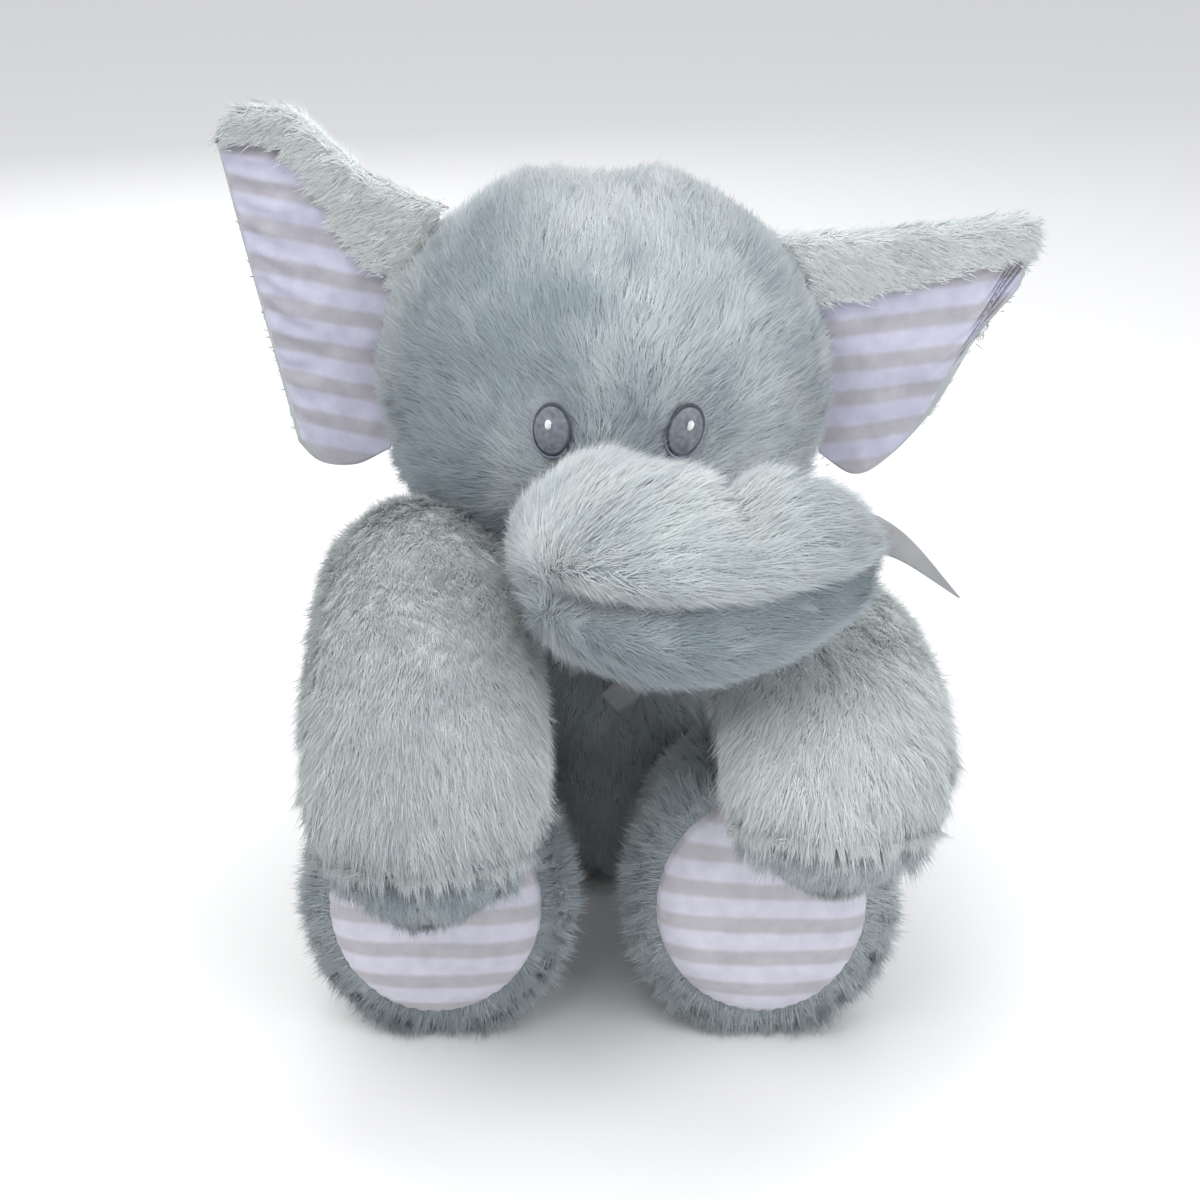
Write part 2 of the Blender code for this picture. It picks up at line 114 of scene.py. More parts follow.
def vnoise(p, freq, seed=0):
    """Smooth value noise in -1..1 at points p (n, 3), repeating only every 32 cells."""
    q = np.asarray(p) * freq + 17.31 * (seed + 1)
    i = np.floor(q).astype(int)
    f = q - i
    f = f * f * (3 - 2 * f)
    out = 0.0
    for dx in (0, 1):
        for dy in (0, 1):
            for dz in (0, 1):
                w = ((f[:, 0] if dx else 1 - f[:, 0]) * (f[:, 1] if dy else 1 - f[:, 1])
                     * (f[:, 2] if dz else 1 - f[:, 2]))
                out = out + w * TABLE[(i[:, 0] + dx) % 32, (i[:, 1] + dy) % 32, (i[:, 2] + dz + 5 * seed) % 32]
    return out * 2 - 1


def unit(v):
    return v / np.maximum(np.linalg.norm(v, axis=-1, keepdims=True), 1e-12)


def smooth(x, a, b):
    t = np.clip((x - a) / (b - a), 0, 1)
    return t * t * (3 - 2 * t)


def catmull(vals, s):
    """Catmull-Rom through the rows of vals at s in 0..1 (arrays)."""
    vals = np.asarray(vals, float)
    n = len(vals) - 1
    x = np.clip(s, 0, 1) * n
    i = np.minimum(x.astype(int), n - 1)
    t = (x - i)[:, None]
    ext = np.vstack([2 * vals[0] - vals[1], vals, 2 * vals[-1] - vals[-2]])
    p0, p1, p2, p3 = ext[i], ext[i + 1], ext[i + 2], ext[i + 3]
    return 0.5 * (2 * p1 + (p2 - p0) * t + (2 * p0 - 5 * p1 + 4 * p2 - p3) * t * t + (3 * p1 - p0 - 3 * p2 + p3) * t ** 3)


def new_mesh(name, co, faces_quads=None, faces_tris=None, smooth_shade=True):
    """Mesh object from numpy arrays."""
    me = bpy.data.meshes.new(name)
    quads = np.zeros((0, 4), int) if faces_quads is None else np.asarray(faces_quads, int)
    tris = np.zeros((0, 3), int) if faces_tris is None else np.asarray(faces_tris, int)
    loops = np.concatenate([quads.ravel(), tris.ravel()]).astype(np.int32)
    me.vertices.add(len(co))
    me.vertices.foreach_set("co", np.ascontiguousarray(co, dtype=np.float32).ravel())
    me.loops.add(len(loops))
    me.loops.foreach_set("vertex_index", loops)
    starts = np.concatenate([np.arange(len(quads)) * 4, len(quads) * 4 + np.arange(len(tris)) * 3]).astype(np.int32)
    me.polygons.add(len(starts))
    me.polygons.foreach_set("loop_start", starts)
    me.update(calc_edges=True)
    me.validate()
    if smooth_shade:
        me.shade_smooth()
    ob = bpy.data.objects.new(name, me)
    bpy.context.scene.collection.objects.link(ob)
    return ob


# ------------------------------------------------------------------ stuffed forms
class Form:
    """A closed soft form: rows of rings from pole to pole, with its spherical parameters kept for masks."""

    def __init__(self, fn, nu, nv, relief=None, floor=None):
        phi = np.pi * np.arange(1, nv) / nv
        az = 2 * np.pi * np.arange(nu) / nu
        PH, AZ = np.meshgrid(phi, az, indexing="ij")
        PH, AZ = PH.ravel(), AZ.ravel()
        a = np.concatenate([[0.0], np.sin(PH) * np.cos(AZ), [0.0]])
        b = np.concatenate([[0.0], np.sin(PH) * np.sin(AZ), [0.0]])
        c = np.concatenate([[1.0], np.cos(PH), [-1.0]])
        self.a, self.b, self.c = a, b, c
        self.co = fn(a, b, c)
        rows = nv - 1
        idx = 1 + np.arange(rows * nu).reshape(rows, nu)
        q = np.stack([idx[:-1], idx[1:], np.roll(idx[1:], -1, 1), np.roll(idx[:-1], -1, 1)], -1).reshape(-1, 4)
        top = np.stack([np.zeros(nu, int), idx[0], np.roll(idx[0], -1)], -1)
        last = 1 + rows * nu
        bot = np.stack([np.full(nu, last), np.roll(idx[-1], -1), idx[-1]], -1)
        self.quads, self.tris = q, np.vstack([top, bot])
        if self.volume() < 0:
            self.quads, self.tris = self.quads[:, ::-1], self.tris[:, ::-1]
        self.normals()
        self.n0 = self.n.copy()
        if relief is not None:
            self.co = self.co + self.n * relief(self)[:, None]
            self.normals()
        if floor is not None:
            self.co[:, 2] = np.maximum(self.co[:, 2], floor)
            self.normals()

    def triangles(self):
        return np.vstack([self.quads[:, :3], self.quads[:, [0, 2, 3]], self.tris])

    def volume(self):
        t = self.triangles()
        p, q, r = self.co[t[:, 0]], self.co[t[:, 1]], self.co[t[:, 2]]
        return np.einsum("ij,ij->i", p, np.cross(q, r)).sum() / 6

    def normals(self):
        t = self.triangles()
        p, q, r = self.co[t[:, 0]], self.co[t[:, 1]], self.co[t[:, 2]]
        fn = np.cross(q - p, r - p)
        n = np.zeros_like(self.co)
        for k in range(3):
            np.add.at(n, t[:, k], fn)
        self.n = unit(n)

    def object(self, name):
        return new_mesh(name, self.co, self.quads, self.tris)


def ellipsoid(c, r, inset=0.0):
    return lambda a, b, z: np.stack([c[0] + a * (r[0] - inset), c[1] + b * (r[1] - inset), c[2] + z * (r[2] - inset)], -1)


def limb(stations, ref, inset=0.0, blunt=3.0, keep=None):
    pts = np.array([s[0] for s in stations])
    wid = np.array([[s[1]] for s in stations])
    thk = np.array([[s[2]] for s in stations])
    length = np.linalg.norm(np.diff(pts, axis=0), axis=1).sum()
    ref = np.array(ref, float)

    def fn(a, b, c):
        phi = np.arccos(np.clip(c, -1, 1))
        t = phi / np.pi
        s = 0.45 * (1 - np.cos(np.pi * t)) / 2 + 0.55 * t
        prof = np.sqrt(np.maximum(0, 1 - np.abs(2 * s - 1) ** blunt))
        s = s + (0.5 - s) * 2.4 * inset / length
        ring = np.sqrt(a * a + b * b)
        ca, cb = np.where(ring > 1e-9, a / np.maximum(ring, 1e-9), 0), np.where(ring > 1e-9, b / np.maximum(ring, 1e-9), 0)
        q = catmull(pts, s)
        tan = unit(catmull(pts, np.minimum(1, s + 0.01)) - catmull(pts, np.maximum(0, s - 0.01)))
        w = unit(ref - tan * (tan @ ref)[:, None])
        n = np.cross(tan, w)
        hw = np.maximum(0, catmull(wid, s)[:, 0] - inset) * prof
        ht = np.maximum(0, catmull(thk, s)[:, 0] - inset) * prof
        if keep is not None:
            keep.append((s, tan, w, n))
        return q + w * (ca * hw)[:, None] + n * (cb * ht)[:, None]
    return fn


def groove(x, width, depth):
    """A sewn valley across x = 0."""
    return -depth * np.exp(-(x / width) ** 2)


# ------------------------------------------------------------------ materials
def nodes_of(name):
    m = bpy.data.materials.new(name)
    m.use_nodes = True
    nt = m.node_tree
    return m, nt, nt.nodes["Principled BSDF"]


def plush_lock(name, color, sheen=0.12):
    """One shade of the pile's fibres; the pile is built lock by lock, so each lock is one shade. The shade a lock takes
    mixes dye variation with painted light and shade.
    """
    m, nt, b = nodes_of(name)
    b.inputs["Base Color"].default_value = (*color, 1)
    b.inputs["Roughness"].default_value = 0.85
    b.inputs["Specular IOR Level"].default_value = 0.10
    b.inputs["Sheen Weight"].default_value = sheen
    b.inputs["Sheen Roughness"].default_value = 0.5
    b.inputs["Sheen Tint"].default_value = (0.93, 0.97, 1.0, 1)
    m.diffuse_color = (*color, 1)
    return m


def link(nt, a, b):
    nt.links.new(a, b)


def backing(name, dark, light, scale=900.0):
    """Woven backing under the pile: mottled grey with a fine knit bump, kept darker than the fibres as painted shade of
    the deep pile.
    """
    m, nt, b = nodes_of(name)
    tc = nt.nodes.new("ShaderNodeTexCoord")
    n1 = nt.nodes.new("ShaderNodeTexNoise")
    n1.inputs["Scale"].default_value = 55
    n1.inputs["Detail"].default_value = 5
    n2 = nt.nodes.new("ShaderNodeTexNoise")
    n2.inputs["Scale"].default_value = scale
    n2.inputs["Detail"].default_value = 3
    ramp = nt.nodes.new("ShaderNodeValToRGB")
    ramp.color_ramp.elements[0].color = (*dark, 1)
    ramp.color_ramp.elements[0].position = 0.3
    ramp.color_ramp.elements[1].color = (*light, 1)
    ramp.color_ramp.elements[1].position = 0.75
    link(nt, tc.outputs["Object"], n1.inputs["Vector"])
    link(nt, tc.outputs["Object"], n2.inputs["Vector"])
    link(nt, n1.outputs["Fac"], ramp.inputs["Fac"])
    link(nt, ramp.outputs["Color"], b.inputs["Base Color"])
    bump = nt.nodes.new("ShaderNodeBump")
    bump.inputs["Strength"].default_value = 0.5
    bump.inputs["Distance"].default_value = 0.0006
    link(nt, n2.outputs["Fac"], bump.inputs["Height"])
    link(nt, bump.outputs["Normal"], b.inputs["Normal"])
    b.inputs["Roughness"].default_value = 0.95
    b.inputs["Specular IOR Level"].default_value = 0.1
    m.diffuse_color = (*light, 1)
    return m


def velour(name, base, stripe, period=0.0150, tilt=0.0, phase=0.0):
    """Short-pile striped velour: soft-edged stripes across the height, a nap that mottles, and a fine pile bump."""
    m, nt, b = nodes_of(name)
    tc = nt.nodes.new("ShaderNodeTexCoord")
    sep = nt.nodes.new("ShaderNodeSeparateXYZ")
    warp = nt.nodes.new("ShaderNodeTexNoise")
    warp.inputs["Scale"].default_value = 22
    warp.inputs["Detail"].default_value = 2
    link(nt, tc.outputs["Object"], sep.inputs["Vector"])
    link(nt, tc.outputs["Object"], warp.inputs["Vector"])
    tx = nt.nodes.new("ShaderNodeMath")
    tx.operation = "MULTIPLY_ADD"
    tx.inputs[1].default_value = tilt
    link(nt, sep.outputs["X"], tx.inputs[0])
    link(nt, sep.outputs["Z"], tx.inputs[2])
    wv = nt.nodes.new("ShaderNodeMath")
    wv.operation = "MULTIPLY_ADD"
    wv.inputs[1].default_value = 0.0040
    link(nt, warp.outputs["Fac"], wv.inputs[0])
    link(nt, tx.outputs[0], wv.inputs[2])
    fr = nt.nodes.new("ShaderNodeMath")
    fr.operation = "MULTIPLY_ADD"
    fr.inputs[1].default_value = 2 * math.pi / period
    fr.inputs[2].default_value = phase
    link(nt, wv.outputs[0], fr.inputs[0])
    si = nt.nodes.new("ShaderNodeMath")
    si.operation = "SINE"
    link(nt, fr.outputs[0], si.inputs[0])
    half = nt.nodes.new("ShaderNodeMath")
    half.operation = "MULTIPLY_ADD"
    half.inputs[1].default_value = 0.5
    half.inputs[2].default_value = 0.5
    link(nt, si.outputs[0], half.inputs[0])
    ramp = nt.nodes.new("ShaderNodeValToRGB")
    ramp.color_ramp.elements[0].color = (*base, 1)
    ramp.color_ramp.elements[0].position = 0.38
    ramp.color_ramp.elements[1].color = (*stripe, 1)
    ramp.color_ramp.elements[1].position = 0.76
    link(nt, half.outputs[0], ramp.inputs["Fac"])
    nap = nt.nodes.new("ShaderNodeTexNoise")
    nap.inputs["Scale"].default_value = 130
    nap.inputs["Detail"].default_value = 4
    link(nt, tc.outputs["Object"], nap.inputs["Vector"])
    napr = nt.nodes.new("ShaderNodeValToRGB")
    napr.color_ramp.elements[0].color = (0.86, 0.86, 0.88, 1)
    napr.color_ramp.elements[0].position = 0.3
    napr.color_ramp.elements[1].color = (1.04, 1.04, 1.04, 1)
    napr.color_ramp.elements[1].position = 0.7
    link(nt, nap.outputs["Fac"], napr.inputs["Fac"])
    mul = nt.nodes.new("ShaderNodeMix")
    mul.data_type = "RGBA"
    mul.blend_type = "MULTIPLY"
    mul.inputs["Factor"].default_value = 0.9
    link(nt, ramp.outputs["Color"], mul.inputs[6])
    link(nt, napr.outputs["Color"], mul.inputs[7])
    link(nt, mul.outputs[2], b.inputs["Base Color"])
    fine = nt.nodes.new("ShaderNodeTexNoise")
    fine.inputs["Scale"].default_value = 1400
    fine.inputs["Detail"].default_value = 3
    link(nt, tc.outputs["Object"], fine.inputs["Vector"])
    bump = nt.nodes.new("ShaderNodeBump")
    bump.inputs["Strength"].default_value = 0.35
    bump.inputs["Distance"].default_value = 0.0004
    link(nt, fine.outputs["Fac"], bump.inputs["Height"])
    link(nt, bump.outputs["Normal"], b.inputs["Normal"])
    b.inputs["Roughness"].default_value = 0.88
    b.inputs["Specular IOR Level"].default_value = 0.15
    b.inputs["Sheen Weight"].default_value = 0.5
    b.inputs["Sheen Roughness"].default_value = 0.4
    m.diffuse_color = (*base, 1)
    return m


def satin(name, color):
    """Satin ribbon: fine weft ribs across its width, faint lengthwise shading, woven sheen."""
    m, nt, b = nodes_of(name)
    tc = nt.nodes.new("ShaderNodeTexCoord")
    n1 = nt.nodes.new("ShaderNodeTexNoise")
    n1.inputs["Scale"].default_value = 60
    link(nt, tc.outputs["Object"], n1.inputs["Vector"])
    ramp = nt.nodes.new("ShaderNodeValToRGB")
    ramp.color_ramp.elements[0].color = tuple(0.88 * c for c in color) + (1,)
    ramp.color_ramp.elements[1].color = tuple(min(1, 1.08 * c) for c in color) + (1,)
    ramp.color_ramp.elements[0].position = 0.35
    ramp.color_ramp.elements[1].position = 0.65
    link(nt, n1.outputs["Fac"], ramp.inputs["Fac"])
    link(nt, ramp.outputs["Color"], b.inputs["Base Color"])
    wave = nt.nodes.new("ShaderNodeTexWave")
    wave.inputs["Scale"].default_value = 520
    wave.inputs["Distortion"].default_value = 0.6
    wave.bands_direction = "X"
    link(nt, tc.outputs["Object"], wave.inputs["Vector"])
    bump = nt.nodes.new("ShaderNodeBump")
    bump.inputs["Strength"].default_value = 0.18
    bump.inputs["Distance"].default_value = 0.0002
    link(nt, wave.outputs["Fac"], bump.inputs["Height"])
    link(nt, bump.outputs["Normal"], b.inputs["Normal"])
    b.inputs["Roughness"].default_value = 0.36
    b.inputs["Specular IOR Level"].default_value = 0.45
    b.inputs["Anisotropic"].default_value = 0.5
    b.inputs["Sheen Weight"].default_value = 0.15
    m.diffuse_color = (*color, 1)
    return m


def thread(name, color, rough=0.5):
    """Embroidery thread: slight tone changes along the stitches and a twisted-ply bump."""
    m, nt, b = nodes_of(name)
    tc = nt.nodes.new("ShaderNodeTexCoord")
    n1 = nt.nodes.new("ShaderNodeTexNoise")
    n1.inputs["Scale"].default_value = 420
    n1.inputs["Detail"].default_value = 3
    link(nt, tc.outputs["Object"], n1.inputs["Vector"])
    ramp = nt.nodes.new("ShaderNodeValToRGB")
    ramp.color_ramp.elements[0].color = tuple(0.72 * c for c in color) + (1,)
    ramp.color_ramp.elements[1].color = tuple(min(1, 1.25 * c) for c in color) + (1,)
    ramp.color_ramp.elements[0].position = 0.32
    ramp.color_ramp.elements[1].position = 0.68
    link(nt, n1.outputs["Fac"], ramp.inputs["Fac"])
    link(nt, ramp.outputs["Color"], b.inputs["Base Color"])
    bump = nt.nodes.new("ShaderNodeBump")
    bump.inputs["Strength"].default_value = 0.3
    bump.inputs["Distance"].default_value = 0.0002
    link(nt, n1.outputs["Fac"], bump.inputs["Height"])
    link(nt, bump.outputs["Normal"], b.inputs["Normal"])
    b.inputs["Roughness"].default_value = rough
    b.inputs["Specular IOR Level"].default_value = 0.4
    m.diffuse_color = (*color, 1)
    return m


SHADES = 8
LOW, HIGH = np.array([0.31, 0.362, 0.400]), np.array([0.80, 0.840, 0.832])
LOCKS = [plush_lock("pile_shade_%d" % i, tuple(LOW + (HIGH - LOW) * (i / (SHADES - 1)))) for i in range(SHADES)]
# The backing greys are painted shade for the depth of the pile: a darker copy, and a paler one for the lighter arms and
# ears.
SHADED_BACKING = backing("shaded_backing", (0.24, 0.275, 0.295), (0.33, 0.365, 0.385))
PALE_SHADED_BACKING = backing("shaded_backing_pale", (0.36, 0.395, 0.400), (0.47, 0.505, 0.51))
LINING_L = velour("striped_velour_lining", (0.49, 0.485, 0.595), (0.405, 0.39, 0.425), period=0.0155, tilt=-0.10, phase=0.6)
LINING_R = velour("striped_velour_lining_r", (0.48, 0.48, 0.59), (0.39, 0.375, 0.415), period=0.0155, tilt=0.16, phase=2.0)
SOLE = velour("striped_velour_sole", (0.56, 0.55, 0.63), (0.43, 0.415, 0.44), period=0.0145, tilt=0.03, phase=1.2)
SATIN = satin("grey_satin", (0.27, 0.275, 0.285))
IRIS = thread("iris_thread", (0.17, 0.185, 0.215))
OUTLINE = thread("outline_thread", (0.055, 0.065, 0.085))
RIM_BLUE = thread("rim_thread", (0.34, 0.40, 0.50))
SPARK = thread("highlight_thread", (0.90, 0.90, 0.95), 0.4)


# ------------------------------------------------------------------ pile
STRANDS = 0


def pile(name, body, form, flow, density, length, tone=0.5, keep=None, short=None, lift=0.24, width=0.00040,
         clump=20, spread=0.00120, floor=0.0006, tone_and_shade_fn=None, seed=1, shag=0.14, pull=0.60, patch=1.0, soft=0.25,
         lift_fn=None):
    """Real locks of pile over a form: seeded clumps whose fibres lean with the flow and close up at their tips.

    Each fibre is a closed three-sided spike. Its shading normals lean to the coat's own, as light spreads in deep pile.
    """
    global STRANDS
    rng = np.random.default_rng(seed)
    tri = form.triangles()
    p, q, r = form.co[tri[:, 0]], form.co[tri[:, 1]], form.co[tri[:, 2]]
    area = np.linalg.norm(np.cross(q - p, r - p), axis=1) / 2
    count = int(density * area.sum())
    pick = rng.choice(len(tri), size=count, p=area / area.sum())
    u, v = rng.random(count), rng.random(count)
    flip = u + v > 1
    u[flip], v[flip] = 1 - u[flip], 1 - v[flip]
    w0 = 1 - u - v

    def mix(arr):
        t = tri[pick]
        s = (w0, u, v)
        return sum(arr[t[:, k]] * (s[k][:, None] if arr.ndim > 1 else s[k]) for k in range(3))
    P, N, S = mix(form.co), unit(mix(form.n)), unit(mix(form.n0))
    A, B, C = mix(form.a), mix(form.b), mix(form.c)
    if keep is not None:
        ok = keep(P, N, A, B, C)
        P, N, S, A, B, C = P[ok], N[ok], S[ok], A[ok], B[ok], C[ok]
    m = len(P)
    F = flow(P, N, A, B, C)
    T = unit(F - N * np.einsum("ij,ij->i", F, N)[:, None])
    Bi = np.cross(N, T)
    swirl = patch * (0.30 * vnoise(P, 42, seed) + 0.16 * vnoise(P, 150, seed + 3)) + rng.normal(0, shag, m)
    T = unit(T * np.cos(swirl)[:, None] + Bi * np.sin(swirl)[:, None])
    Bi = np.cross(N, T)
    L = length * (1 + 0.12 * rng.normal(0, 1, m).clip(-2, 2)) * (1 + 0.10 * vnoise(P, 60, seed + 5))
    if short is not None:
        L = L * short(P, A, B, C)
    up = lift * (1 + 0.30 * rng.normal(0, 1, m).clip(-1.6, 1.6)) + patch * (0.08 * vnoise(P, 50, seed + 7) + 0.05 * vnoise(P, 240, seed + 8))
    if lift_fn is not None:
        up = up * lift_fn(P, N)
    # random tone patches; each part's own function then adds painted light and shade to this tone
    t0 = tone + patch * (0.15 * vnoise(P, 26, seed + 9) + 0.10 * vnoise(P, 85, seed + 11)) + 0.05 * vnoise(P, 330, seed + 12) + 0.035 * rng.normal(0, 1, m)
    if tone_and_shade_fn is not None:
        t0 = t0 + tone_and_shade_fn(P, A, B, C)
    k = clump
    ox = rng.normal(0, spread * 1.7, (m, k))
    oy = rng.normal(0, spread, (m, k))
    root = P[:, None] + T[:, None] * ox[..., None] + Bi[:, None] * oy[..., None] - N[:, None] * 0.0005
    ll = (L[:, None] * (1 + 0.20 * rng.normal(0, 1, (m, k)).clip(-2, 2)))[..., None]
    e = (np.clip(up, 0.02, 0.9)[:, None] * (1 + 0.45 * rng.normal(0, 1, (m, k)).clip(-2, 2)) + 0.10)[..., None]
    tw = (rng.normal(0, 0.10, (m, k)))[..., None]
    d = unit(T[:, None] * np.cos(e) + N[:, None] * np.sin(e) + Bi[:, None] * tw)
    tip = root + d * ll - (Bi[:, None] * oy[..., None]) * pull
    n = m * k
    root, tip = root.reshape(n, 3), tip.reshape(n, 3)
    Nn, Sn = np.repeat(N, k, 0), np.repeat(S, k, 0)
    if floor is not None:
        root[:, 2] = np.maximum(root[:, 2], floor + 0.0004 * rng.random(n))
        tip[:, 2] = np.maximum(tip[:, 2], floor + 0.0004 * rng.random(n))
    along = unit(tip - root)
    side = unit(np.cross(Nn, along))
    wv = (width * (0.75 + 0.5 * rng.random(n)))[:, None]
    upv = np.cross(along, side)
    upv = np.where((np.einsum("ij,ij->i", upv, Nn) < 0)[:, None], -upv, upv)
    v0 = root - side * wv * 0.5
    v1 = root + side * wv * 0.5
    v2 = root + upv * wv * 0.42
    co = np.stack([v0, v1, v2, tip], 1)
    hand = np.einsum("ij,ij->i", np.cross(side, upv), along)
    tris = np.array([[0, 1, 3], [1, 2, 3], [2, 0, 3], [1, 0, 2]])
    R = (np.arange(n) * 4)[:, None, None] + tris[None]
    neg = hand < 0
    R[neg] = R[neg][:, :, ::-1]
    nor = unit(np.stack([-side + Sn * soft, side + Sn * soft, upv * 0.2 + Sn, along + Sn * soft], 1))
    tone_i = np.clip(np.repeat(t0, k) + 0.04 * rng.normal(0, 1, n), 0, 0.9999)
    shade = (tone_i * SHADES).astype(np.int32)
    STRANDS += n
    parts = max(1, math.ceil(n / 48000))
    per = math.ceil(n / parts)
    order = np.argsort(P[:, 0] + 0.37 * P[:, 2], kind="stable")
    order = (order[:, None] * k + np.arange(k)[None]).ravel()
    for j in range(parts):
        sel = order[j * per:(j + 1) * per]
        shift = (np.arange(len(sel)) * 4)[:, None, None] - (sel * 4)[:, None, None]
        ob = new_mesh("%s_%d" % (name, j + 1), co[sel].reshape(-1, 3), None, (R[sel] + shift).reshape(-1, 3))
        for mat in LOCKS:
            ob.data.materials.append(mat)
        ob.data.polygons.foreach_set("material_index", np.repeat(shade[sel], 4).astype(np.int32))
        ob.data.normals_split_custom_set_from_vertices(nor[sel].reshape(-1, 3))
        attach(ob, body)


def give(ob, mat, body, cad=()):
    ob.data.materials.clear()
    ob.data.materials.append(mat)
    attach(ob, body)
    if cad:
        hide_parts(*cad)
    return ob


# ------------------------------------------------------------------ camera, light, floor
def set_camera():
    cam = bpy.data.cameras.new("camera")
    cam.lens = 66.0
    cam.sensor_width = 36.0
    cam.clip_start = 0.02
    ob = bpy.data.objects.new("camera", cam)
    ob.location = (-0.002, -0.871, 0.477)
    ob.rotation_euler = (math.radians(68.0), 0.0, 0.0)
    bpy.context.scene.collection.objects.link(ob)
    bpy.context.scene.camera = ob


def area_light(name, loc, target, size, power, color=(1, 1, 1)):
    li = bpy.data.lights.new(name, "AREA")
    li.shape = "DISK"
    li.size = size
    li.energy = power
    li.color = color
    ob = bpy.data.objects.new(name, li)
    ob.location = loc
    ob.rotation_euler = (Vector(target) - Vector(loc)).to_track_quat("-Z", "Y").to_euler()
    bpy.context.scene.collection.objects.link(ob)


set_camera()
area_light("key_light", (-0.45, -0.85, 1.35), (0, -0.05, 0.15), 1.1, 12.0, (1.0, 0.99, 0.97))
area_light("top_light", (0.25, 0.10, 1.5), (0, -0.05, 0.15), 1.2, 7.0)
area_light("fill_light", (1.0, -1.0, 0.6), (0, -0.05, 0.15), 1.1, 7.0, (0.96, 0.98, 1.0))
area_light("back_light", (-0.4, 1.3, 0.9), (0, 0, 0.2), 1.2, 5.0)
world = bpy.data.worlds.new("studio")
bpy.context.scene.world = world
world.use_nodes = True
world.node_tree.nodes["Background"].inputs["Color"].default_value = (0.965, 0.975, 1.0, 1)
world.node_tree.nodes["Background"].inputs["Strength"].default_value = 0.80
bpy.context.scene.view_settings.view_transform = "Standard"

floor_mesh = bpy.data.meshes.new("floor")
floor_mesh.from_pydata([(-6, -6, 0), (6, -6, 0), (6, 6, 0), (-6, 6, 0)], [], [(0, 1, 2, 3)])
floor = bpy.data.objects.new("floor", floor_mesh)
bpy.context.scene.collection.objects.link(floor)
fm, fnt, fb = nodes_of("pale_floor")
fb.inputs["Base Color"].default_value = (0.80, 0.80, 0.80, 1)
fb.inputs["Roughness"].default_value = 0.9
floor_mesh.materials.append(fm)


# ------------------------------------------------------------------ head
EYES = {"right": (-0.0200, 0.2275, 0.04), "left": (0.0300, 0.2264, 0.30)}


def head_surface(x, z, inset=INSET):
    r = HEAD_R - inset
    left = np.maximum(0.0, 1 - (x / r[0]) ** 2 - ((z - HEAD_C[2]) / r[2]) ** 2)
    return -r[1] * np.sqrt(left)


def head_relief(f):
    seam = np.minimum(np.abs(f.a - 0.28), np.abs(f.a + 0.28)) * HEAD_R[0]
    front = smooth(f.c, 0.15, 0.45) + smooth(f.b, 0.0, 0.5)
    d = groove(seam, 0.0030, 0.0010) * np.clip(front, 0, 1)
    for x, z, _ in EYES.values():
        rr = np.sqrt((f.co[:, 0] - x) ** 2 + (f.co[:, 2] - z) ** 2)
        d = d - 0.0022 * np.exp(-(rr / 0.016) ** 2) * (f.b < 0)
    d = d + 0.0032 * vnoise(f.co, 24, 2) + 0.0014 * vnoise(f.co, 55, 4)
    d = d - 0.0042 * smooth(f.c, 0.55, 0.95)
    # two soft swellings at the crown, either side of a small dip
    for cx in (-0.030, 0.026):
        d = d + 0.0036 * np.exp(-((f.co[:, 0] - cx) / 0.018) ** 2) * smooth(f.c, 0.75, 0.98)
    return d


head = Form(ellipsoid(HEAD_C, HEAD_R, INSET), 144, 110, head_relief)
give(head.object("head_cover"), SHADED_BACKING, "head",
     ("head_panel_left", "head_panel_right", "head_gusset", "head_stuffing"))
NOSE = np.array([0.002, -0.084, 0.188])


def head_flow(P, N, A, B, C):
    away = unit(P - NOSE)
    up = np.array([0.0, 0.15, 1.0])
    w = smooth(P[:, 2], 0.25, 0.30)[:, None]
    return away * (1 - w) + unit(away * 0.7 + up * 0.2) * w


def head_keep(P, N, A, B, C):
    base = (P[:, 1] < -0.070) & (np.hypot(P[:, 0] + 0.0, P[:, 2] - 0.188) < 0.024)
    e = np.full(len(P), 9.0)
    for x, z, tilt in EYES.values():
        dx, dz = P[:, 0] - x, P[:, 2] - z
        ca, sa = math.cos(tilt), math.sin(tilt)
        ex, ez = (dx * ca - dz * sa) / 0.0072, (dx * sa + dz * ca) / 0.0102
        e = np.where(P[:, 1] < 0, np.minimum(e, np.sqrt(ex * ex + ez * ez)), e)
    return (e > 1.0) & ~base


def head_short(P, A, B, C):
    e = np.full(len(P), 9.0)
    for x, z, tilt in EYES.values():
        r = np.hypot((P[:, 0] - x) / 0.0072, (P[:, 2] - z) / 0.0102)
        # fibres below the eye run down into it and are kept shorter
        r = np.where(P[:, 2] < z, r * 0.92, r)
        e = np.where(P[:, 1] < 0, np.minimum(e, r), e)
    return 0.50 + 0.50 * smooth(e, 1.0, 1.9)


# Painted light and shade on the head's pile: lighter on top, where light falls from above; the face darker, partly
# painted shade under the brow and partly a darker, bluer coat, and darker still towards -x; painted shade between the
# eyes and round the eye sockets.
def head_tone_and_painted_light(P, A, B, C):
    top = smooth(P[:, 2], 0.276, 0.306)
    face_shade_and_tone = smooth(-P[:, 1], -0.02, 0.05) * (1 - smooth(P[:, 2], 0.268, 0.306))
    between = np.exp(-((P[:, 0] - 0.005) / 0.022) ** 2 - ((P[:, 2] - 0.226) / 0.014) ** 2) * (P[:, 1] < 0)
    e = 0.0
    for x, z, _ in EYES.values():
        e = e + np.exp(-((P[:, 0] - x) / 0.013) ** 2 - ((P[:, 2] - z) / 0.016) ** 2) * (P[:, 1] < 0)
    return 0.12 * top - 0.21 * face_shade_and_tone - 0.15 * face_shade_and_tone * smooth(-P[:, 0], -0.02, 0.06) - 0.12 * between - 0.10 * e


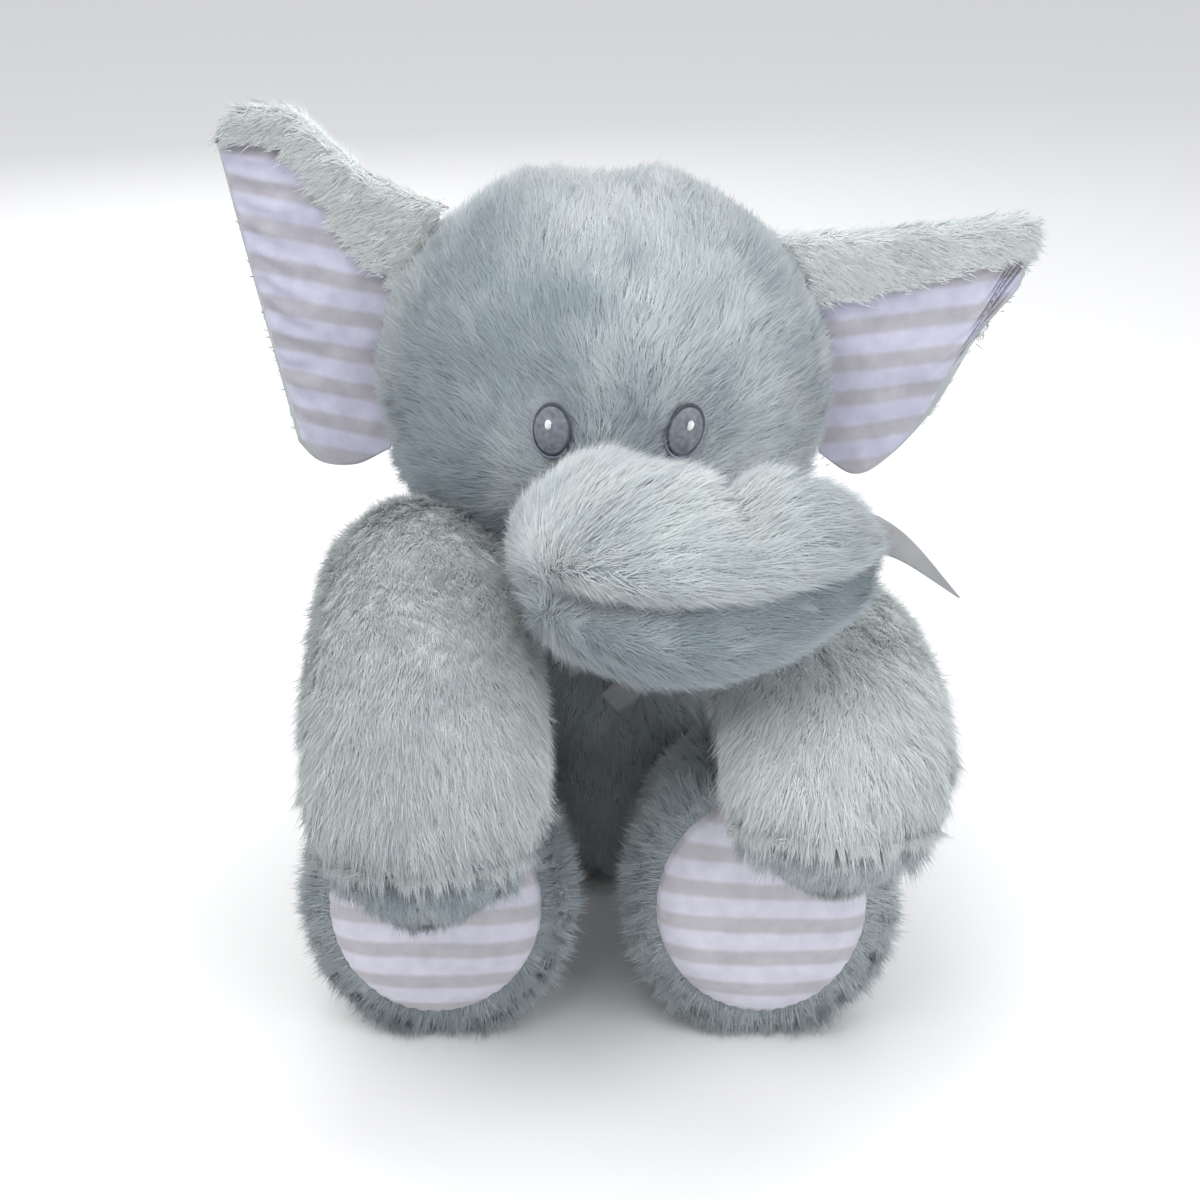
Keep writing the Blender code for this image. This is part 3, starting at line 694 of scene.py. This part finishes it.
DENSE = 150000
pile("head_pile", "head", head, head_flow, DENSE, 0.0080, 0.44, head_keep, head_short, lift=0.26,
     tone_and_shade_fn=head_tone_and_painted_light, seed=11, shag=0.16, patch=1.7)

# ------------------------------------------------------------------ torso
def torso_relief(f):
    seam = np.abs(f.a) * TORSO_R[0]
    d = groove(seam, 0.003, 0.0014) * (f.b > 0.1)
    side = np.abs(f.b - 0.12) * TORSO_R[1]
    d = d + groove(side, 0.003, 0.0012)
    return d + 0.0020 * vnoise(f.co, 24, 21)


torso = Form(ellipsoid(TORSO_C, TORSO_R, INSET), 120, 90, torso_relief, floor=0.0016)
give(torso.object("torso_cover"), SHADED_BACKING, "torso",
     ("torso_front_panel", "torso_back_panel_left", "torso_back_panel_right", "torso_stuffing", "pellet_bag"))
# painted shade: the torso's pile darkens towards the bottom, near the floor, and its base tone is kept low for the
# shade it sits in
pile("torso_pile", "torso", torso, lambda P, N, A, B, C: np.tile([0.0, 0.0, -1.0], (len(P), 1)) + 0.5 * unit(P - TORSO_C) * [1, 1, 0],
     DENSE, 0.0088, 0.46, lambda P, N, A, B, C: (P[:, 2] > 0.004) & (P[:, 2] < 0.128), seed=12,
     tone_and_shade_fn=lambda P, A, B, C: -0.08 * smooth(0.06 - P[:, 2], 0.0, 0.05))

def neck_fn(a, b, c):
    """The plush that fills the neck inside the ribbon, clear of the head above it."""
    x, y, z = 0.0352 * a, NECK[1] + 0.0352 * b, 0.1335 + 0.0175 * c
    hr, tr = HEAD_R - INSET, TORSO_R - INSET
    under_head = HEAD_C[2] - hr[2] * np.sqrt(np.maximum(0, 1 - (x / hr[0]) ** 2 - ((y - HEAD_C[1]) / hr[1]) ** 2))
    on_torso = TORSO_C[2] + tr[2] * np.sqrt(np.maximum(0, 1 - ((x - TORSO_C[0]) / tr[0]) ** 2 - ((y - TORSO_C[1]) / tr[1]) ** 2))
    z = np.minimum(z, under_head - 0.0022 - 0.10 * np.maximum(0, y - NECK[1]))
    return np.stack([x, y, np.maximum(z, on_torso - 0.0015)], -1)


neck = Form(neck_fn, 72, 48)
give(neck.object("torso_neck_cover"), SHADED_BACKING, "torso", ())
pile("torso_neck_pile", "torso", neck, lambda P, N, A, B, C: unit(P - [0, NECK[1], P[:, 2].mean()]) * [1, 1, 0] + [0.0, 0.0, 0.55] * np.sign(P[:, 2:3] - 0.131),
     DENSE * 1.1, 0.0062, 0.42, lambda P, N, A, B, C: np.hypot(A, B) > 0.80, lift=0.20, seed=23)

# ------------------------------------------------------------------ trunk
trunk_info = []


def trunk_fold(a, b):
    """Metres round the trunk from its lengthwise fold, positive above it."""
    ring = np.maximum(np.sqrt(a ** 2 + b ** 2), 1e-6)
    return (a / ring + 0.06) * 0.036


def trunk_relief(f):
    ring = np.maximum(np.sqrt(f.a ** 2 + f.b ** 2), 1e-6)
    h = trunk_fold(f.a, f.b)
    ends = smooth(ring, 0.25, 0.7) * (0.12 + 0.88 * smooth(trunk_info[0][0], 0.36, 0.50))
    d = groove(h + 0.001, 0.0048, 0.0085) * ends
    d = d + 0.0030 * np.exp(-((h + 0.013) / 0.008) ** 2) * ends + 0.0016 * np.exp(-((h - 0.012) / 0.010) ** 2) * ends
    s = trunk_info[0][0]
    # the tip is pinched off from the rest by a dent on top
    top = smooth(f.a / ring, 0.2, 0.9)
    d = d - 0.0068 * np.exp(-((s - 0.700) / 0.038) ** 2) * top * smooth(ring, 0.1, 0.4)
    d = d - 0.0044 * smooth(f.a / ring, 0.1, 0.9) * (1 - smooth(s, 0.66, 0.82)) * ring ** 0.5
    return d + 0.0012 * vnoise(f.co, 30, 31)


trunk = Form(limb(TRUNK, (0, 0, 1), INSET, 3.2, trunk_info), 110, 130, trunk_relief)
give(trunk.object("trunk_cover"), SHADED_BACKING, "trunk",
     ("trunk_upper_panel", "trunk_under_panel", "trunk_stuffing"))
HUB = np.array([-0.026, -0.186, 0.194])


def trunk_flow(P, N, A, B, C):
    away = unit(P - HUB)
    down = np.array([0.0, 0.0, -0.40]) * (1 - smooth(trunk_fold(A, B), 0.0, 0.020))[:, None] * (trunk_fold(A, B) > 0)[:, None]
    return away + 0.30 * np.array([1.0, 0.0, 0.0]) + down


# painted shade: the pile darkens in the lengthwise fold, over the lower lobe under it and down the trunk's lower side
pile("trunk_pile", "trunk", trunk, trunk_flow, DENSE, 0.0086, 0.53, None,
     lambda P, A, B, C: (1 - 0.25 * smooth(P[:, 1], -0.145, -0.115)) * 1 - 0.45 * np.exp(-((trunk_fold(A, B) + 0.004) / 0.0045) ** 2) * smooth(-C, -0.25, 0.05), seed=13,
     tone_and_shade_fn=lambda P, A, B, C: -0.36 * smooth(-trunk_fold(A, B), 0.0, 0.010) - 0.10 * (1 - smooth(trunk_fold(A, B), 0.010, 0.032))
     - 0.22 * np.exp(-((trunk_fold(A, B) + 0.003) / 0.0040) ** 2) * smooth(-C, -0.25, 0.05), shag=0.11)

# ------------------------------------------------------------------ arms
for side in ("left", "right"):
    info = []
    fn = limb(ARMS[side], (1, 0, 0), INSET, 4.0, info)
    probe = fn(np.array([0.0, 0.0]), np.array([1.0, -1.0]), np.array([0.0, 0.0]))
    info.clear()
    sgn = 1.0 if probe[0, 2] > probe[1, 2] else -1.0

    def paw_fold(fb, c, sgn=sgn):
        """Metres from the seam between the arm's upper panel and its palm, positive above it."""
        return (fb * sgn + 0.25 - 8.4 * np.maximum(0, -c - 0.83)) * 0.026

    def arm_relief(f, paw_fold=paw_fold):
        h = paw_fold(f.b, f.c)
        end = smooth(-f.c, 0.0, 0.6)
        d = groove(h, 0.0040, 0.0062) * (0.35 + 0.65 * end)
        d = d + 0.0022 * np.exp(-((h + 0.010) / 0.006) ** 2) * end + 0.0012 * np.exp(-((h - 0.010) / 0.008) ** 2) * end
        return d + 0.0015 * vnoise(f.co, 28, 41)

    arm = Form(fn, 96, 130, arm_relief)
    body = "arm_" + side
    give(arm.object("arm_%s_cover" % side), PALE_SHADED_BACKING, body,
         ("arm_%s_upper_panel" % side, "arm_%s_palm_panel" % side, "arm_%s_stuffing" % side))

    def arm_flow(P, N, A, B, C, st=ARMS[side]):
        # along the arm, fanning out from its middle line
        pts = np.array([s[0] for s in st])
        ss = np.linspace(0, 1, 60)
        line = catmull(pts, ss)
        k = np.argmin(((P[:, None, :] - line[None]) ** 2).sum(-1), 1)
        tang = unit(np.gradient(line, axis=0))[k]
        off = (P - line[k]) / 0.040
        return tang + 0.50 * off * smooth(ss[k], 0.2, 0.9)[:, None]

    # painted light and shade: the left arm's pile gets a lighter base tone than the right arm's, and the palm lobe and
    # the fold above it are darkened
    pile("arm_%s_pile" % side, body, arm, arm_flow, DENSE * 1.1, 0.0092, 0.78 if side == "left" else 0.67, None,
         lambda P, A, B, C, pf=paw_fold: (1 - 0.40 * np.exp(-((pf(B, C) + 0.003) / 0.0045) ** 2)) * (1 - 0.30 * smooth(-C, 0.88, 0.98)),
         seed=14 if side == "left" else 15, shag=0.11, lift_fn=lambda P, N: 1 - 0.35 * smooth(N[:, 2], 0.45, 0.95),
         tone_and_shade_fn=lambda P, A, B, C, pf=paw_fold: -0.42 * smooth(-pf(B, C), 0.0, 0.006)
         - 0.20 * np.exp(-((pf(B, C) + 0.002) / 0.0035) ** 2))

# ------------------------------------------------------------------ legs and soles
SOLE_C = -0.93
for side in ("left", "right"):
    fn = limb(LEGS[side], (1, 0, 0), INSET, 5.0)

    def leg_relief(f):
        d = groove((f.c - SOLE_C) * 0.06, 0.0030, 0.0022)
        return d + 0.0015 * vnoise(f.co, 26, 51) * (f.c > SOLE_C) - 0.0030 * smooth(-f.c, -SOLE_C, -SOLE_C + 0.02)

    leg = Form(fn, 110, 120, leg_relief, floor=0.0016)
    body = "leg_" + side
    give(leg.object("leg_%s_cover" % side), SHADED_BACKING, body,
         ("leg_%s_upper_panel" % side, "leg_%s_lower_panel" % side, "leg_%s_stuffing" % side))
    # painted shade: the legs' pile has a low base tone and darkens further towards the feet
    pile("leg_%s_pile" % side, body, leg,
         lambda P, N, A, B, C, cx=LEGS[side][4][0]: np.tile([0.0, -1.0, 0.0], (len(P), 1))
         * (1 - smooth(-C, 0.55, 0.86))[:, None] + 1.0 * unit((P - np.array(cx)) * [1, 0.0, 1]) * smooth(-C, 0.3, 0.86)[:, None],
         DENSE, 0.0086, 0.38, lambda P, N, A, B, C: (C > SOLE_C + 0.004) & (P[:, 2] > 0.004),
         lambda P, A, B, C: 0.60 + 0.40 * smooth(C, SOLE_C, SOLE_C + 0.10), lift=0.34, seed=16 if side == "left" else 17,
         tone_and_shade_fn=lambda P, A, B, C: -0.10 * smooth(-C, 0.6, 0.9))

    # sole: crowned oval of striped velour, gathered a little where it meets the foot
    nr, na = 30, 132
    cc = -1 + (1 + SOLE_C + 0.012) * (np.arange(1, nr + 1) / nr) ** 1.6
    an = 2 * np.pi * np.arange(na) / na
    CC, AN = np.meshgrid(cc, an, indexing="ij")
    CC, AN = CC.ravel(), AN.ravel()
    rr = np.sqrt(1 - CC * CC)
    aa = np.concatenate([[0.0], rr * np.cos(AN)])
    bb = np.concatenate([[0.0], rr * np.sin(AN)])
    c3 = np.concatenate([[-1.0], CC])
    base = limb(LEGS[side], (1, 0, 0), INSET - 0.0006, 5.0)(aa, bb, c3)
    t = np.concatenate([[0.0], np.repeat(np.arange(1, nr + 1) / nr, na)])
    azi = np.concatenate([[0.0], AN])
    crown = 0.0042 * (1 - t ** 3.0) - 0.0034 * smooth(t, 0.90, 1.0)
    pucker = 0.00055 * np.sin(azi * 46 + 0.9 * np.sin(azi * 5)) * smooth(t, 0.70, 0.93)
    base[:, 1] -= crown + pucker + 0.0008 * vnoise(base, 45, 61) + 0.0004 * vnoise(base, 130, 62)
    idx = 1 + np.arange(nr * na).reshape(nr, na)
    quads = np.stack([idx[:-1], np.roll(idx[:-1], -1, 1), np.roll(idx[1:], -1, 1), idx[1:]], -1).reshape(-1, 4)
    tris = np.stack([np.zeros(na, int), np.roll(idx[0], -1), idx[0]], -1)
    e1, e2 = base[idx[0, 1]] - base[0], base[idx[0, 0]] - base[0]
    if np.cross(e1, e2)[1] > 0:
        quads, tris = quads[:, ::-1], tris[:, ::-1]
    pad = new_mesh("leg_%s_sole_pad" % side, base, quads, tris)
    sol = pad.modifiers.new("Thickness", "SOLIDIFY")
    sol.thickness = 0.0014
    sol.offset = -1.0
    give(pad, SOLE, body, ("leg_%s_sole" % side,))


# ------------------------------------------------------------------ ears
class Grid:
    """An open sheet kept in the same shape as Form, so that pile can grow on it."""

    def __init__(self, fn, us, vs, flip=False):
        U, V = np.meshgrid(us, vs, indexing="ij")
        self.a, self.b, self.c = U.ravel(), V.ravel(), np.zeros(U.size)
        self.co = fn(self.a, self.b)
        nu, nv = len(us), len(vs)
        idx = np.arange(nu * nv).reshape(nu, nv)
        q = np.stack([idx[:-1, :-1], idx[1:, :-1], idx[1:, 1:], idx[:-1, 1:]], -1).reshape(-1, 4)
        self.quads = q[:, ::-1] if flip else q
        self.tris = np.zeros((0, 3), int)
        Form.normals(self)
        self.n0 = self.n

    triangles = Form.triangles
    object = Form.object


def ear_fn(spec, sign):
    top, low = np.array(spec["top"]), np.array(spec["low"])
    fold_root, fold_tip = spec["fold"]

    def plane(u, v):
        a, b = catmull(low, u), catmull(top, u)
        q = a + (b - a) * v[:, None]
        deep = 0.0030 * np.minimum(1, np.linalg.norm(b - a, axis=1) / 0.095) ** 2
        y = 0.014 + 0.010 * u - deep * np.sin(np.pi * np.clip(v, 0, 1)) * np.sin(np.pi * (0.15 + 0.85 * u) * 0.55)
        return np.stack([q[:, 0], y, q[:, 1]], -1)

    def short_of_head(q):
        left = 1 - ((q[:, 2] - HEAD_C[2]) / HEAD_R[2]) ** 2 - ((q[:, 1] - HEAD_C[1]) / HEAD_R[1]) ** 2
        need = HEAD_R[0] * np.sqrt(np.maximum(left, 0)) - 0.0015
        return np.where(left > 0, np.maximum(0, need - np.abs(q[:, 0])), 0)

    def raw(u, v):
        e = plane(u, np.ones_like(u))
        d = unit(plane(u, np.full_like(u, 0.92)) - e)
        f = np.array([0.0, -1.0, 0.0])
        t = (np.clip(v, 1, 2) - 1) * np.pi
        strip = fold_root + (fold_tip - fold_root) * u
        roll = e - d * (np.sin(t) * FOLD_R)[:, None] + f * ((1 - np.cos(t)) * FOLD_R)[:, None]
        free = e + f * (2 * FOLD_R) + d * ((v - 2) * strip)[:, None]
        return np.where((v <= 1)[:, None], plane(u, v), np.where((v <= 2)[:, None], roll, free))

    def fn(u, v):
        q = raw(u, v)
        q[:, 0] += sign * short_of_head(raw(np.zeros_like(u), v)) * (1 - u) ** 1.5
        q[:, 0] += sign * short_of_head(q)
        return q
    return fn


for side, sign in (("left", 1.0), ("right", -1.0)):
    spec = EARS[side]
    fn = ear_fn(spec, sign)
    body = "ear_" + side
    us = np.linspace(0, 1, 46)
    vs = np.concatenate([np.linspace(0, 1, 34), 1 + np.linspace(0, 1, 15)[1:], 2 + np.linspace(0, 1, 14)[1:]])
    sheet = Grid(fn, us, vs)
    mid = sheet.b < 0.9
    if sheet.n[mid][:, 1].mean() < 0:
        sheet = Grid(fn, us, vs, flip=True)
    # the backing sits inside the pile's outer surface
    skin_sheet = Grid(fn, us, vs)
    skin_sheet.quads = sheet.quads
    Form.normals(skin_sheet)
    skin_sheet.co = sheet.co - sheet.n * 0.0022
    Form.normals(skin_sheet)
    skin_sheet.n0 = skin_sheet.n
    back = skin_sheet.object("ear_%s_back" % side)
    th = back.modifiers.new("Thickness", "SOLIDIFY")
    th.thickness = 0.0018
    th.offset = -1.0
    give(back, PALE_SHADED_BACKING, body, ("ear_%s_back_panel" % side,))
    tipdir = unit(np.array([sign, 0.0, 0.35]))

    def ear_flow(P, N, A, B, C, tipdir=tipdir):
        down = np.where((B > 1.3)[:, None], np.array([0.0, 0.0, -0.75]), np.array([0.0, 0.0, -0.15]))
        # along the outer edge the pile turns to run down beside the seam
        edge = (smooth(A, 0.72, 0.94) * (B < 1.4))[:, None]
        return (np.tile(tipdir, (len(P), 1)) + down) * (1 - edge) + np.array([-0.35 * tipdir[0], 0.0, -1.0]) * edge

    pile("ear_%s_pile" % side, body, skin_sheet, ear_flow, DENSE * 1.1, 0.0066, 0.88, lambda P, N, A, B, C: ((A < 0.975) | (B > 1)) & (B > 0.03),
         lambda P, A, B, C: (1 - 0.60 * smooth(A, 0.84, 0.98)) * (1 - 0.45 * (1 - smooth(B, 0.0, 0.10))) * (1 - 0.35 * smooth(B, 2.5, 3.0)),
         lift=0.30, seed=18 if side == "left" else 19, floor=None, soft=0.15)

    def lining_fn(u, v, fn=fn, side=side):
        q = fn(u, v)
        puff = 0.0030 * np.sin(np.pi * np.clip(u, 0, 1)) ** 0.6 * np.sin(np.pi * np.clip(v, 0.0, 1)) ** 0.5
        edge = smooth(u, 0.45, 1.0)
        length = np.linalg.norm(catmull(np.array(EARS[side]["top"]), u) - catmull(np.array(EARS[side]["low"]), u), axis=1)
        ph = v * length / 0.0105 * 2 * np.pi
        wr = 0.0021 * np.sin(ph + 2.2 * vnoise(np.stack([u * 0.05, v * 0.1, u * 0], -1), 60, 3)) * edge
        wr = (wr + 0.0013 * vnoise(q, 60, 71) + 0.0006 * vnoise(q, 150, 72)) * (1 - 0.8 * smooth(u, 0.88, 1.0))
        wr = np.maximum(wr, -0.0003 - 0.5 * puff)
        q[:, 1] -= EAR_T + 0.0006 + puff + wr * np.sin(np.pi * np.clip(v, 0.02, 0.98)) ** 0.4
        return q

    lin = Grid(lining_fn, np.linspace(0.0, 1.0, 60), np.linspace(0.0, 0.97, 80))
    if lin.n[:, 1].mean() > 0:
        lin.quads = lin.quads[:, ::-1]
        Form.normals(lin)
    lo = lin.object("ear_%s_lining_cloth" % side)
    th = lo.modifiers.new("Thickness", "SOLIDIFY")
    th.thickness = 0.0012
    th.offset = -1.0
    give(lo, LINING_L if side == "left" else LINING_R, body, ("ear_%s_lining" % side,))

# ------------------------------------------------------------------ tail
tail = Form(limb(TAIL, (1, 0, 0), 0.0025, 3.0), 32, 40)
give(tail.object("tail_cover"), SHADED_BACKING, "tail", ("tail",))
pile("tail_pile", "tail", tail, lambda P, N, A, B, C: np.tile([0.0, 0.45, -1.0], (len(P), 1)), DENSE, 0.0080, 0.5, None, None,
     lift=0.30, seed=20)


# ------------------------------------------------------------------ eyes: satin-stitch embroidery
def tubes(name, paths, radius, sides=6):
    """Many round threads as one mesh: each path is (n, 3)."""
    cos, quads, tris = [], [], []
    off = 0
    for path in paths:
        path = np.asarray(path)
        n = len(path)
        tan = unit(np.gradient(path, axis=0))
        ref = np.array([0.0, -1.0, 0.0])
        w = unit(np.cross(tan, ref))
        m = np.cross(w, tan)
        r = radius * np.concatenate([[0.35], np.ones(n - 2), [0.35]])
        ang = 2 * np.pi * np.arange(sides) / sides
        ring = (path[:, None] + (w[:, None] * np.cos(ang)[None, :, None] + m[:, None] * np.sin(ang)[None, :, None]) * r[:, None, None])
        cos.append(ring.reshape(-1, 3))
        for i in range(n - 1):
            for j in range(sides):
                a0, a1 = off + i * sides + j, off + i * sides + (j + 1) % sides
                quads.append((a0, a1, a1 + sides, a0 + sides))
        for j in range(1, sides - 1):
            tris.append((off, off + j + 1, off + j))
            e = off + (n - 1) * sides
            tris.append((e, e + j, e + j + 1))
        off += n * sides
    return new_mesh(name, np.concatenate(cos), quads, tris)


def eye_frame(x, z, tilt):
    y = float(head_surface(np.array([x]), np.array([z]))[0])
    r = HEAD_R - INSET
    n = np.array([x / r[0] ** 2, y / r[1] ** 2, (z - HEAD_C[2]) / r[2] ** 2])
    n = n / np.linalg.norm(n)
    up = np.array([math.sin(tilt), 0, math.cos(tilt)])
    up = up - n * (up @ n)
    up = up / np.linalg.norm(up)
    side = np.cross(up, n)
    return np.array([x, y, z]), n, up, side


def eye_point(fr, u, v, lift):
    """Point at (u across, v up) on the head's own curve, lifted off it."""
    o, n, up, side = fr
    u, v = np.asarray(u, float), np.asarray(v, float)
    sag = (u * u + v * v) / (2 * 0.087)
    return o + side * u[..., None] + up * v[..., None] + n * (lift - sag)[..., None]


for side, (x, z, tilt) in EYES.items():
    fr = eye_frame(x, z, tilt)
    RX, RZ = 0.0071, 0.0100
    # padded ground under the stitches
    nr, na = 14, 48
    pts, quads, tris = [eye_point(fr, 0.0, 0.0, np.array(0.0017)).reshape(3)], [], []
    for i in range(1, nr + 1):
        t = i / nr
        an = 2 * np.pi * np.arange(na) / na
        pts.extend(eye_point(fr, RX * t * np.cos(an), RZ * t * np.sin(an), 0.0006 + 0.0011 * (1 - t ** 3)))
    for j in range(na):
        tris.append((0, 1 + j, 1 + (j + 1) % na))
    for i in range(nr - 1):
        for j in range(na):
            a0, a1 = 1 + i * na + j, 1 + i * na + (j + 1) % na
            quads.append((a0, a0 + na, a1 + na, a1))
    pad = new_mesh("eye_%s_ground" % side, np.array(pts), quads, tris)
    so = pad.modifiers.new("Thickness", "SOLIDIFY")
    so.thickness = 0.0010
    so.offset = 0.0
    give(pad, IRIS, "head", ("eye_%s" % side,))
    # iris: rows of satin stitch across, slightly slanted
    rows = []
    pitch = 0.00036
    for k in range(int(2 * RZ / pitch)):
        v = -RZ + (k + 0.5) * pitch
        half = RX * math.sqrt(max(0.0, 1 - (v / RZ) ** 2)) * 0.99
        if half < 0.0008:
            continue
        u = np.linspace(-half, half, 9)
        vv = v + 0.10 * u + 0.00006 * np.sin(k * 2.4)
        t = np.sqrt(np.clip((u / RX) ** 2 + (v / RZ) ** 2, 0, 1))
        rows.append(eye_point(fr, u, vv, 0.0009 + 0.0011 * (1 - t ** 3)))
    ob = tubes("eye_%s_iris_stitches" % side, rows, 0.00022)
    give(ob, IRIS, "head")
    # outline: short stitches across a dark ring
    rim = []
    cnt = 88
    for k in range(cnt):
        an = 2 * np.pi * k / cnt
        t = np.linspace(0.86, 1.06, 5)
        a2 = an + 0.10 * (t - 0.95)
        rim.append(eye_point(fr, RX * t * np.cos(a2), RZ * t * np.sin(a2), 0.0013 - 0.0006 * ((t - 0.95) / 0.1) ** 2))
    ob = tubes("eye_%s_outline_stitches" % side, rim, 0.00027)
    give(ob, OUTLINE, "head")
    # a thin paler edge low on the outer side
    edge = []
    for k in range(46):
        an = math.radians(170 + 150 * k / 45) if side == "right" else math.radians(205 + 140 * k / 45)
        t = np.linspace(1.04, 1.13, 4)
        edge.append(eye_point(fr, RX * t * np.cos(an), RZ * t * np.sin(an), 0.0009 - 0.0004 * ((t - 1.08) / 0.05) ** 2))
    ob = tubes("eye_%s_pale_edge" % side, edge, 0.00020)
    give(ob, RIM_BLUE, "head")
    # highlight: a few upright white stitches
    hl = []
    hu, hv = (-0.0010, 0.0022) if side == "right" else (0.0006, 0.0024)
    for k in range(7):
        u0 = (k - 3) * 0.00034
        half = 0.0021 * math.sqrt(max(0.05, 1 - (u0 / 0.0013) ** 2))
        v = np.linspace(-half, half, 7)
        hl.append(eye_point(fr, hu + u0 + 0 * v, hv + v, 0.0026 - 0.0003 * (v / max(half, 1e-6)) ** 2))
    ob = tubes("eye_%s_highlight_stitches" % side, hl, 0.00021)
    give(ob, SPARK, "head", ("eye_%s_highlight" % side,))


# ------------------------------------------------------------------ ribbon
def strip_mesh(name, stations, width, steps=110, across=14, cut=0.0, crease=0.0):
    """Ribbon strip; cut > 0 ends it in a slant that starts at that share of its length."""
    pts = np.array([s[0] for s in stations])
    dirs = np.array([s[1] for s in stations])

    def fn(u, v):
        q = catmull(pts, u)
        w = unit(catmull(dirs, u))
        tan = unit(catmull(pts, np.minimum(1, u + 0.01)) - catmull(pts, np.maximum(0, u - 0.01)))
        n = np.cross(tan, w)
        low = np.clip((u - cut) / (1 - cut), 0, 1) * 0.97 if cut > 0 else np.zeros_like(u)
        x = low + (1 - low) * v - 0.5
        cup = 0.0012 * (1 - 4 * x * x) + 0.0007 * np.sin(5 * x + 9 * u)
        return q + w * (x * width)[:, None] + n * (cup + crease * np.sin(18 * u) * 0.0006)[:, None]
    g = Grid(fn, np.linspace(0, 1, steps), np.linspace(0, 1, across))
    return g.object(name)


def ribbon_piece(ob, cad):
    th = ob.modifiers.new("Thickness", "SOLIDIFY")
    th.thickness = 0.0005
    th.offset = 0.0
    give(ob, SATIN, "torso", cad)
    return ob


KNOT = np.array([0.0235, -0.0300, 0.1225])


def knot_relief(f):
    return 0.0005 * np.sin(f.a * 16 + 2 * f.c) - 0.0002


knot_form = Form(ellipsoid(KNOT, np.array([0.0070, 0.0050, 0.0065])), 48, 36, knot_relief)
knot = give(knot_form.object("ribbon_knot_cloth"), SATIN, "torso", ("ribbon_knot",))

WID = 0.0205
TAIL_L = (
    ((0.0335, -0.0385, 0.1300), (0.2, -0.75, 0.25)),
    ((0.0520, -0.0510, 0.1590), (0.0, -1.0, 0.5)),
    ((0.0740, -0.0510, 0.1720), (0.0, -0.8, 0.6)),
    ((0.0960, -0.0500, 0.1750), (0.15, -0.2, 1.0)),
    ((0.1155, -0.0470, 0.1640), (0.30, -0.1, 1.0)),
    ((0.1375, -0.0450, 0.1365), (0.55, -0.1, 0.75)),
)
TAIL_R = (
    ((0.0170, -0.0400, 0.1110), (0.8, -0.2, 0.2)),
    ((0.0100, -0.0450, 0.1050), (0.9, -0.1, 0.2)),
    ((0.0040, -0.0475, 0.0985), (1.0, 0.0, 0.1)),
    ((0.0000, -0.0485, 0.0910), (1.0, 0.0, 0.0)),
)
ribbon_piece(strip_mesh("ribbon_tail_left_cloth", TAIL_L, WID, cut=0.62), ("ribbon_tail_left",))
ribbon_piece(strip_mesh("ribbon_tail_right_cloth", TAIL_R, WID * 0.9, cut=0.45), ("ribbon_tail_right",))

BAND_R, BAND_Z, BAND_SLOPE = 0.038, (0.1252, 0.1368), 0.218


def band_fn(u, v):
    an = 2 * np.pi * u
    z = BAND_Z[0] + (BAND_Z[1] - BAND_Z[0]) * v
    r = BAND_R + 0.0006 * np.sin(3 * an) + 0.0010 * np.sin(np.pi * v) + 0.0004 * np.sin(9 * np.pi * v + 3 * an)
    x, y = r * np.cos(an), r * np.sin(an)
    return np.stack([x, NECK[1] + y, z + y * BAND_SLOPE], -1)


g = Grid(band_fn, np.linspace(0, 1, 97), np.linspace(0, 1, 12))
ribbon_piece(g.object("ribbon_neck_band_cloth"), ("ribbon_neck_band",))

def loop_mesh(name, far, drop):
    far = np.array(far)
    length = np.linalg.norm(far)
    away = far / length

    def fn(u, v):
        an = 2 * np.pi * u
        reach = 0.5 - 0.5 * np.cos(an)
        half = 0.0042 * np.sin(an)
        wide = 0.0055 + 0.0035 * reach
        q = KNOT + away * (0.0085 + length * reach)[:, None] + np.array([0, -1.0, 0]) * (half + 0.001)[:, None]
        q[:, 2] += (v - 0.5) * 2 * wide - drop * reach * reach + 0.0004 * np.sin(14 * v + 4 * u)
        return q
    return Grid(fn, np.linspace(0, 1, 65), np.linspace(0, 1, 12)).object(name)


ribbon_piece(loop_mesh("ribbon_loop_right_cloth", (-0.030, -0.012, 0.0), 0.004), ("ribbon_loop_right",))
ribbon_piece(loop_mesh("ribbon_loop_left_cloth", (0.004, -0.030, -0.004), 0.004), ("ribbon_loop_left",))

print("STRANDS", STRANDS)
